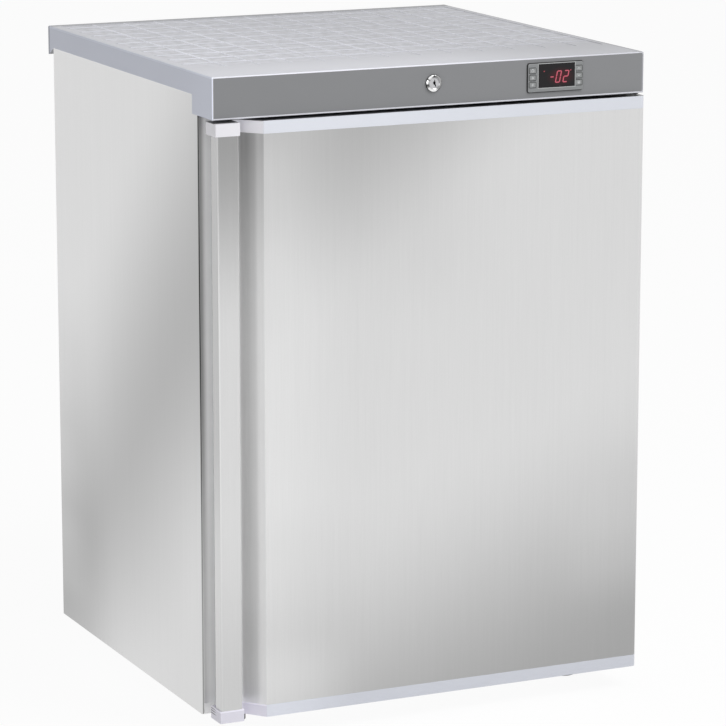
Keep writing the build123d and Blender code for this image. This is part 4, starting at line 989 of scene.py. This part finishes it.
def softened(node: str, radius: float, segments: int = 2) -> Shape:
    """A node's shape with its sharp edges rounded.

    Args:
        node: The frame's node.
        radius: How far each edge is taken back, in metres.
        segments: Steps round each edge.

    Returns:
        The rounded shape.
    """
    shape = bmesh.new()
    shape.from_mesh(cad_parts[node].data)
    bmesh.ops.remove_doubles(shape, verts=shape.verts, dist=MERGE)
    bmesh.ops.dissolve_limit(shape, angle_limit=FLAT, verts=shape.verts, edges=shape.edges)
    edges = [e for e in shape.edges if e.is_manifold and e.calc_face_angle(0.0) > SHARP]
    bmesh.ops.bevel(
        shape,
        geom=edges,
        offset=radius,
        offset_type="OFFSET",
        affect="EDGES",
        segments=segments,
        profile=0.5,
        material=-1,
        clamp_overlap=True,
    )
    return shape


def dress(finish: Finish, *nodes: str) -> None:
    """Gives a finish to nodes that keep their shape.

    Args:
        finish: The finish.
        *nodes: The frame's nodes.
    """
    for node in nodes:
        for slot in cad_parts[node].material_slots:
            slot.material = finish.material()
        LOG.info("%s: %s", node, finish.name)


def ring_face(
    shape: Shape, centre: Vector, outer: float, inner: float, depth: float
) -> None:
    """Adds a flat ring that faces the front.

    Args:
        shape: The shape it is added to.
        centre: The middle of its back, in metres.
        outer: Outer radius.
        inner: Inner radius.
        depth: Thickness, towards the front.
    """
    start, first_edge = len(shape.faces), len(shape.edges)
    facing = Matrix.Translation(centre) @ FACE_FRONT
    for radius in (outer, inner):
        bmesh.ops.create_circle(shape, segments=RING_STEPS, radius=radius, matrix=facing)
    shape.edges.ensure_lookup_table()
    bmesh.ops.bridge_loops(shape, edges=shape.edges[first_edge:])
    thicken(shape, start, depth)


def thicken(shape: Shape, start: int, depth: float) -> None:
    """Pulls the flat faces from a given one on towards the front, into closed solids.

    Args:
        shape: The shape.
        start: Number of the first of those faces.
        depth: Thickness, towards the front.
    """
    shape.faces.ensure_lookup_table()
    flat = shape.faces[start:]
    copied = bmesh.ops.extrude_face_region(shape, geom=flat, use_keep_orig=True)
    moved = [v for v in copied["geom"] if isinstance(v, bmesh.types.BMVert)]
    bmesh.ops.translate(shape, vec=(0, -depth, 0), verts=moved)
    shape.faces.ensure_lookup_table()
    bmesh.ops.recalc_face_normals(shape, faces=shape.faces[start:])


def plate(
    shape: Shape,
    centre: Vector,
    half: tuple[float, float],
    corner: float,
    segments: int,
    turn: float = 0.0,
) -> None:
    """Adds a flat rectangle that faces the front.

    Args:
        shape: The shape it is added to.
        centre: Its middle, in metres.
        half: Half its length and half its width.
        corner: How far its corners are cut back, or 0.
        segments: Steps round each corner.
        turn: Turn from level, in degrees.
    """
    facing = (
        Matrix.Translation(centre)
        @ Matrix.Rotation(math.radians(-turn), 4, "Y")
        @ FACE_FRONT
        @ Matrix.Diagonal((*half, 1.0, 1.0))
    )
    made = bmesh.ops.create_grid(shape, x_segments=1, y_segments=1, size=1.0, matrix=facing)
    if corner:
        bmesh.ops.bevel(
            shape,
            geom=made["verts"],
            offset=corner,
            offset_type="OFFSET",
            affect="VERTICES",
            segments=segments,
            profile=0.5,
            material=-1,
        )


def frame_face(
    shape: Shape,
    low: Vector,
    high: Vector,
    margin: float,
    corner: float,
    depth: float,
) -> None:
    """Adds a flat frame round an opening, facing the front.

    Args:
        shape: The shape it is added to.
        low: The opening's lowest corner, with the y of the frame's back.
        high: The opening's highest corner.
        margin: Width of the frame's bars.
        corner: Radius of its outer corners, or 0.
        depth: Thickness, towards the front.
    """
    start = len(shape.faces)
    centre = Vector(((low.x + high.x) / 2, low.y, (low.z + high.z) / 2))
    half = ((high.x - low.x) / 2 + margin, (high.z - low.z) / 2 + margin)
    plate(shape, centre, half, corner, segments=4)
    shape.faces.ensure_lookup_table()
    opening = shape.faces[start]
    bmesh.ops.inset_region(
        shape, faces=[opening], thickness=margin, use_even_offset=True, use_boundary=True
    )
    bmesh.ops.delete(shape, geom=[opening], context="FACES_ONLY")
    thicken(shape, start, depth)


def bar_face(
    shape: Shape,
    centre: Vector,
    size: tuple[float, float],
    depth: float,
    turn: float = 0.0,
    taper: float = 0.0,
) -> None:
    """Adds a flat bar that faces the front, with its ends cut to points.

    Args:
        shape: The shape it is added to.
        centre: The middle of its back, in metres.
        size: Length and width.
        depth: Thickness, towards the front.
        turn: Turn from level, in degrees.
        taper: Share of the half width that each corner is cut by.
    """
    start = len(shape.faces)
    half = (size[0] / 2, size[1] / 2)
    plate(shape, centre, half, half[1] * taper, segments=1, turn=turn)
    thicken(shape, start, depth)


def span(node: str) -> tuple[Vector, Vector, Vector]:
    """A node's lowest corner, highest corner and middle."""
    low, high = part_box(node)
    return low, high, (low + high) / 2


# ---------------------------------------------------------------- sub-assemblies


@dataclass
class Shell:
    """Cabinet outside: side sheets, worktop, fascia, trim and rear sheets."""

    trim_edge: float = 0.6 * MM

    def build(self) -> None:
        """Shapes and dresses the shell."""
        dress(SHEET, "side_panel_left", "side_panel_right")
        dress(TOP_PLASTIC, "worktop")
        dress(ZINC, "base_pan", "compartment_panel", "compressor_tray", "back_panel", "roof_panel")
        dress(FOAM, "cabinet_foam")
        dress(FASCIA_FILM, "fascia_panel")
        # dark plating, which also stands in for the shade in the gap under the fascia
        dress(DARK_PLATING_AND_SHADE, "hinge_bracket_top", "hinge_bracket_bottom")
        dress(PLATED, "hinge_screws", "foot_inserts")
        trim = softened("bottom_trim", self.trim_edge)
        publish(trim, "lower_trim", "cabinet", TRIM_PLASTIC, ["bottom_trim"])


@dataclass
class Door:
    """Door: skin, handle, end caps, inner panel and seal."""

    cap_edge: float = 0.9 * MM
    handle_edge: float = 0.35 * MM

    def build(self) -> None:
        """Shapes and dresses the door."""
        dress(DOOR_SHEET, "door_skin")
        dress(FOAM, "door_foam")
        dress(LINER_PLASTIC, "door_liner")
        dress(SEAL, "gasket")
        dress(KEY_PLASTIC, "hinge_bushes")
        publish(
            softened("handle_profile", self.handle_edge),
            "handle_strip",
            "door",
            HANDLE_METAL,
            ["handle_profile"],
        )
        caps = (
            ("door_cap_top", "top_cap", WHITE_PLASTIC),
            ("door_cap_bottom", "lower_cap", SHADED_LOWER_CAP_PLASTIC),
        )
        for node, name, finish in caps:
            shape = softened(node, self.cap_edge, segments=3)
            publish(shape, name, "door", finish, [node])


@dataclass
class Lock:
    """Cam lock: turned collar, plug with its keyway, nut and cam."""

    collar: tuple[tuple[float, float], ...] = (
        (11.0, 0.0), (11.0, 1.3), (10.5, 2.2), (9.6, 2.8), (8.8, 2.9),
        (8.4, 2.5), (8.0, 2.5), (7.7, 2.9), (7.1, 3.0), (6.6, 2.7),
        (6.5, 2.2), (6.5, -20.0), (9.5, -20.0), (9.5, 0.0),
    )
    steps: int = 64
    keyway: tuple[tuple[float, float], ...] = (
        (0.1, 4.4), (1.2, 4.4), (1.2, 2.5), (1.9, 1.3), (1.8, -0.9),
        (2.4, -2.6), (2.9, -4.7), (1.8, -4.8), (1.0, -2.7), (-0.8, -1.3),
        (-1.7, 0.2), (-1.4, 1.9), (0.0, 2.6),
    )
    keyway_depth: float = 7.0 * MM
    tail: float = 2.0 * MM
    cam_gap: float = 0.3 * MM
    crease: float = 24.0

    def build(self) -> None:
        """Shapes and dresses the lock."""
        middle = span("lock_housing")[2]
        fascia_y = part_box("fascia_panel")[0].y
        shape = bmesh.new()
        verts = [
            shape.verts.new((middle.x + r * MM, fascia_y - f * MM, middle.z))
            for r, f in self.collar
        ]
        edges = [shape.edges.new((a, b)) for a, b in zip(verts, verts[1:] + verts[:1])]
        bmesh.ops.spin(
            shape,
            geom=verts + edges,
            cent=(middle.x, 0, middle.z),
            axis=(0, 1, 0),
            angle=math.tau,
            steps=self.steps,
            use_merge=True,
        )
        bmesh.ops.remove_doubles(shape, verts=shape.verts, dist=MERGE)
        bmesh.ops.recalc_face_normals(shape, faces=shape.faces)
        publish(
            shape,
            "lock_collar",
            "cabinet",
            COLLAR_CHROME,
            ["lock_housing"],
            self.crease,
        )
        self.plug()
        dress(PLATED, "lock_nut", "lock_cam")

    def plug(self) -> None:
        """Plug with a keyway cut into its face, and the square tail for the cam."""
        low, high, middle = span("lock_plug")
        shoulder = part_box("lock_cam")[0].y - self.cam_gap - low.y
        radius = (high.x - low.x) / 2
        face = Vector((middle.x, low.y, middle.z))
        facing = Matrix.Translation(face) @ FACE_FRONT
        shape = bmesh.new()
        bmesh.ops.create_circle(shape, segments=self.steps, radius=radius, matrix=facing)
        outside = list(shape.edges)
        verts = [shape.verts.new(face + Vector((x, 0, z)) * MM) for x, z in self.keyway]
        slot = [shape.edges.new(pair) for pair in zip(verts, verts[1:] + verts[:1])]
        bmesh.ops.triangle_fill(shape, use_beauty=True, edges=outside + slot)
        for edges, depth in ((outside, shoulder), (slot, self.keyway_depth)):
            made = bmesh.ops.extrude_edge_only(shape, edges=edges)["geom"]
            far = [v for v in made if isinstance(v, bmesh.types.BMVert)]
            bmesh.ops.translate(shape, vec=(0, depth, 0), verts=far)
            sides = [e for e in made if isinstance(e, bmesh.types.BMEdge)]
            rim = [e for e in sides if set(e.verts) <= set(far)]
            bmesh.ops.edgeloop_fill(shape, edges=rim)
        length = high.y - low.y - shoulder
        centre = Vector((middle.x, low.y + shoulder + length / 2, middle.z))
        size = Matrix.Diagonal((2 * self.tail, length, 2 * self.tail, 1.0))
        bmesh.ops.create_cube(shape, size=1.0, matrix=Matrix.Translation(centre) @ size)
        bmesh.ops.recalc_face_normals(shape, faces=shape.faces)
        publish(shape, "lock_face", "lock", PLUG_CHROME, ["lock_plug"])


class Bar(Enum):
    """The seven bars of a figure: place in half widths and half heights, and turn."""

    TOP = (0.0, 1.0, 0.0)
    MIDDLE = (0.0, 0.0, 0.0)
    BOTTOM = (0.0, -1.0, 0.0)
    UPPER_LEFT = (-1.0, 0.5, 90.0)
    UPPER_RIGHT = (1.0, 0.5, 90.0)
    LOWER_LEFT = (-1.0, -0.5, 90.0)
    LOWER_RIGHT = (1.0, -0.5, 90.0)


ZERO = tuple(bar for bar in Bar if bar is not Bar.MIDDLE)
TWO = (Bar.TOP, Bar.UPPER_RIGHT, Bar.MIDDLE, Bar.LOWER_LEFT, Bar.BOTTOM)


@dataclass(frozen=True)
class Ring:
    """A ring of a key's symbol: outer and inner radius, in millimetres."""

    outer: float
    inner: float

    def draw(self, shape: Shape, face: Vector, depth: float) -> None:
        """Adds the ring to a shape, with its back on the key's face."""
        ring_face(shape, face, self.outer * MM, self.inner * MM, depth)


@dataclass(frozen=True)
class Line:
    """A line of a key's symbol: length, width, place of its middle and turn from level.

    Lengths are in millimetres and the turn in degrees. Crossing lines differ in rise, a factor
    on their thickness, so that no two faces lie in one plane.
    """

    length: float
    width: float
    turn: float = 0.0
    at: tuple[float, float] = (0.0, 0.0)
    rise: float = 1.0

    def draw(self, shape: Shape, face: Vector, depth: float) -> None:
        """Adds the line to a shape.

        Args:
            shape: The shape.
            face: Middle of the key's face, where the line's back is.
            depth: Thickness, before its rise.
        """
        centre = face + Vector((self.at[0], 0, self.at[1])) * MM
        size = (self.length * MM, self.width * MM)
        bar_face(shape, centre, size, self.rise * depth, self.turn)


def ray(turn: float) -> Line:
    """One short ray beside the lamp's disc, at a turn in degrees."""
    out = Matrix.Rotation(math.radians(turn), 2) @ Vector((1.65, 0.0))
    return Line(0.7, 0.3, turn, tuple(out))


SYMBOLS: Mapping[str, tuple[Ring | Line, ...]] = {
    # Switch: ring with an upright bar
    "left_top": (Ring(1.9, 1.45), Line(1.5, 0.45, 90.0, (0.0, 1.1), 1.4)),
    # Frost: six-armed flake
    "left_middle": tuple(
        Line(3.6, 0.4, turn, rise=rise) for turn, rise in ((30.0, 1.0), (90.0, 1.15), (150.0, 1.3))
    ),
    # Lamp: disc with rays
    "left_bottom": (Ring(0.9, 0.3), *(ray(45.0 * step) for step in range(8))),
    # Up and down: two lines that meet
    "right_top": (Line(2.5, 0.5, 38.0, (-0.9, 0.0)), Line(2.5, 0.5, -38.0, (0.9, 0.0), 1.15)),
    "right_middle": (Line(2.5, 0.5, -38.0, (-0.9, 0.0)), Line(2.5, 0.5, 38.0, (0.9, 0.0), 1.15)),
    # Settings: two rings
    "right_bottom": (Ring(1.9, 1.5), Ring(0.8, 0.2)),
}


@dataclass
class Controller:
    """Digital controller: bezel, dark window with lit figures, and six keys."""

    case_edge: float = 0.18 * MM
    key_edge: float = 0.22 * MM
    figure_height: float = 15.6 * MM
    figure_width: float = 7.2 * MM
    stroke: float = 1.4 * MM
    bar_gap: float = 0.12
    bar_taper: float = 0.8
    dash_offset: float = -6.6 * MM
    dash_length: float = 4.6 * MM
    dash_taper: float = 0.5
    lean: float = 0.21
    figure_depth: float = 0.12 * MM
    zero_offset: float = 2.6 * MM
    two_offset: float = 13.3 * MM
    glow_offset: float = 6.0 * MM
    drop: float = 2.0 * MM
    lamp_at: tuple[float, float] = (-17.9 * MM, 5.7 * MM)
    lamp_radii: tuple[float, float] = (0.8 * MM, 0.15 * MM)
    degree_at: tuple[float, float] = (18.6 * MM, 7.6 * MM)
    degree_radii: tuple[float, float] = (0.8 * MM, 0.45 * MM)
    symbol_depth: float = 0.1 * MM
    lip_width: float = 0.9 * MM
    lip_height: float = 0.25 * MM
    case_corner: float = 2.5 * MM
    # dark seal round the case, which also stands in for its shadow gap
    seal_and_shadow_width: float = 0.9 * MM
    seal_and_shadow_height: float = 0.4 * MM
    well_gap: float = 0.35 * MM
    well_corner: float = 1.2 * MM
    surround_width: float = 0.6 * MM

    def build(self) -> None:
        """Shapes and dresses the controller."""
        publish(
            softened("controller_case", self.case_edge),
            "controller_frame",
            "cabinet",
            BEZEL_PLASTIC,
            ["controller_case"],
        )
        low, _, middle = span("controller_lens")
        glow_at = (middle.x + self.glow_offset, low.y, middle.z - self.drop)
        dress(replace(WINDOW, glow_at=glow_at), "controller_lens")
        self.edgings()
        self.figures()
        self.keys()

    def edgings(self) -> None:
        """Lip round the window, a dark seal round the case that also stands in for the shadow gap
        there, and dark frames round the keys, print that also stands in for the shade in the gaps
        round them.
        """
        low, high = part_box("controller_case")
        lens_low, lens_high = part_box("controller_lens")
        lens_low.y = low.y
        shape = bmesh.new()
        frame_face(shape, lens_low, lens_high, self.lip_width, 0.0, self.lip_height)
        publish(shape, "window_frame", "cabinet", FRAME_PLASTIC)
        front_y = low.y
        # Dark seal round the case, which also stands in for the shadow gap between the case and
        # the fascia.
        low.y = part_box("fascia_panel")[0].y
        shape = bmesh.new()
        corner = self.case_corner + self.seal_and_shadow_width
        frame_face(shape, low, high, self.seal_and_shadow_width, corner, self.seal_and_shadow_height)
        publish(shape, "controller_seal_and_shadow", "cabinet", RUBBER)
        # Dark frames round the keys: print that also stands in for the shade in the gaps round
        # them.
        shape = bmesh.new()
        gap = Vector((self.well_gap, 0, self.well_gap))
        width = self.surround_width
        corner = self.well_corner + width
        for place in SYMBOLS:
            low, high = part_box(f"key_{place}")
            low.y = front_y
            frame_face(shape, low - gap, high + gap, width, corner, self.symbol_depth)
        publish(shape, "key_surrounds", "cabinet", KEY_PRINT_AND_SHADE)

    def figures(self) -> None:
        """Lit figures, lamp and degree mark in the window."""
        low, _, middle = span("controller_lens")
        shape = bmesh.new()
        half_height = (self.figure_height - self.stroke) / 2
        half_width = (self.figure_width - self.stroke) / 2
        for bars, offset in ((ZERO, self.zero_offset), (TWO, self.two_offset)):
            for bar in bars:
                across, up, turn = bar.value
                full = 2 * half_width if turn == 0 else half_height
                size = (full - self.bar_gap * self.stroke, self.stroke)
                centre = Vector((offset + across * half_width, 0, up * half_height))
                bar_face(shape, centre, size, self.figure_depth, turn, self.bar_taper)
        dash = Vector((self.dash_offset, 0, 0))
        size = (self.dash_length, self.stroke)
        bar_face(shape, dash, size, self.figure_depth, taper=self.dash_taper)
        degree = Vector((self.degree_at[0], 0, self.degree_at[1]))
        ring_face(shape, degree, *self.degree_radii, self.figure_depth)
        leaning = Matrix.Identity(4)
        leaning[0][2] = self.lean
        bmesh.ops.transform(shape, matrix=leaning, verts=shape.verts)
        place = (middle.x, low.y, middle.z - self.drop)
        bmesh.ops.translate(shape, vec=place, verts=shape.verts)
        publish(shape, "display_figures", "cabinet", FIGURES)
        lamp = bmesh.new()
        spot = Vector((middle.x + self.lamp_at[0], low.y, middle.z + self.lamp_at[1]))
        ring_face(lamp, spot, *self.lamp_radii, self.figure_depth)
        publish(lamp, "display_lamp", "cabinet", LAMP)

    def keys(self) -> None:
        """Rounded keys with a plain symbol on each."""
        for place, strokes in SYMBOLS.items():
            node = f"key_{place}"
            low, _, middle = span(node)
            publish(
                softened(node, self.key_edge),
                f"button_{place}",
                node,
                KEY_PLASTIC,
                [node],
            )
            shape = bmesh.new()
            for stroke in strokes:
                stroke.draw(shape, Vector((middle.x, low.y, middle.z)), self.symbol_depth)
            publish(shape, f"symbol_{place}", node, SYMBOL_INK)


@dataclass
class Interior:
    """Liner, shelves, evaporator and fan."""

    def build(self) -> None:
        """Dresses the inside."""
        dress(LINER_PLASTIC, "inner_liner", "fan_shroud")
        dress(COATED_WIRE, "shelf_lower", "shelf_middle", "shelf_upper")
        dress(PLATE_METAL, "evaporator")
        dress(BLACK_PLASTIC, "fan_motor", "fan_rotor")


@dataclass
class Machinery:
    """Compressor, condenser, pipes and feet."""

    def build(self) -> None:
        """Dresses the rear and the underside."""
        dress(BLACK_ENAMEL, "compressor", "condenser_tube", "condenser_wires")
        dress(BLACK_PLASTIC, "relay_box", "evaporation_pan", "cord_gland", "condenser_clips")
        dress(RUBBER, "compressor_grommets")
        dress(COPPER, "discharge_pipe", "filter_drier", "suction_pipe")
        dress(KEY_PLASTIC, "drain_tube")
        corners = ("front_left", "front_right", "rear_left", "rear_right")
        dress(BLACK_PLASTIC, *[f"foot_{corner}" for corner in corners])


@dataclass
class Studio:
    """Pale floor, white surroundings, soft lamps and the camera."""

    camera_at: tuple[float, float, float] = (-1.9728, -4.3547, 1.4402)
    heading: float = -24.752
    down: float = 12.147
    lens: float = 180.0
    sensor: float = 36.0
    reach: float = 100.0
    ambient: float = 0.44
    floor_size: float = 40.0
    floor_glow: float = 0.94
    aim: tuple[float, float, float] = (0.0, 0.0, 0.45)
    lamps: tuple[tuple[str, tuple[float, float, float], float, float], ...] = (
        ("key_softbox", (1.6, -2.4, 3.8), 2.2, 100.0),
        ("front_softbox", (-2.6, -4.0, 1.4), 2.0, 30.0),
    )

    def build(self) -> None:
        """Sets the stage up."""
        self.floor()
        self.world()
        for name, place, size, power in self.lamps:
            self.lamp(name, Vector(place), size, power)
        self.camera()
        bpy.context.scene.view_settings.view_transform = "Standard"

    def seen(self, graph: Graph) -> Signal:
        """Finds the rays that show the surroundings as white.

        Args:
            graph: The graph of the floor or the world.

        Returns:
            1 where a ray comes from the camera, or by way of gloss or glass.
        """
        kinds = [
            graph.node("ShaderNodeLightPath", output=kind)
            for kind in ("Is Camera Ray", "Is Glossy Ray", "Is Transmission Ray")
        ]
        first = graph.math("MAXIMUM", kinds[0], kinds[1])
        return graph.math("MAXIMUM", first, kinds[2])

    def floor(self) -> None:
        """Large pale floor, which shows as near white and keeps the shadow."""
        shape = bmesh.new()
        bmesh.ops.create_grid(shape, x_segments=8, y_segments=8, size=self.floor_size / 2)
        mesh = bpy.data.meshes.new("floor")
        shape.to_mesh(mesh)
        shape.free()
        pale = bpy.data.materials.new("pale_floor")
        graph = Graph(pale)
        dust = graph.noise(3.0)
        colour = graph.shaded(grey(245), 0.99 + dust * 0.02)
        matt = graph.node("ShaderNodeBsdfDiffuse", sockets={"Color": colour})
        lit = graph.node("ShaderNodeEmission", sockets={"Color": WHITE, "Strength": 1.0})
        share = self.seen(graph) * self.floor_glow
        mixed = graph.node("ShaderNodeMixShader", sockets={0: share, 1: matt, 2: lit})
        graph.node("ShaderNodeOutputMaterial", sockets={"Surface": mixed})
        mesh.materials.append(pale)
        floor = bpy.data.objects.new("floor", mesh)
        bpy.context.scene.collection.objects.link(floor)

    def world(self) -> None:
        """Even light from all round, seen as white."""
        made = bpy.data.worlds.new("surroundings")
        graph = Graph(made)
        strength = self.ambient + self.seen(graph) * (1.0 - self.ambient)
        sky = graph.node("ShaderNodeBackground", sockets={"Color": WHITE, "Strength": strength})
        graph.node("ShaderNodeOutputWorld", sockets={"Surface": sky})
        bpy.context.scene.world = made

    def lamp(self, name: str, place: Vector, size: float, power: float) -> None:
        """Adds a square softbox that points at the object.

        Args:
            name: The lamp's name.
            place: Where it stands.
            size: Side, in metres.
            power: Watts.
        """
        light = bpy.data.lights.new(name, "AREA")
        light.energy = power
        light.size = size
        made = bpy.data.objects.new(name, light)
        made.location = place
        made.rotation_euler = (Vector(self.aim) - place).to_track_quat("-Z", "Y").to_euler()
        bpy.context.scene.collection.objects.link(made)

    def camera(self) -> None:
        """Long lens from the front left, a little above the top."""
        lens = bpy.data.cameras.new("camera")
        lens.lens = self.lens
        lens.sensor_width = self.sensor
        lens.clip_end = self.reach
        made = bpy.data.objects.new("camera", lens)
        made.location = self.camera_at
        made.rotation_euler = (math.radians(90.0 - self.down), 0.0, math.radians(self.heading))
        bpy.context.scene.collection.objects.link(made)
        bpy.context.scene.camera = made


def main() -> None:
    """Builds the looks in order."""
    logging.basicConfig(level=logging.INFO, format="%(message)s")
    for part in (Shell(), Door(), Lock(), Controller(), Interior(), Machinery(), Studio()):
        LOG.info("== %s", type(part).__name__)
        part.build()


if __name__ == "__main__":
    main()
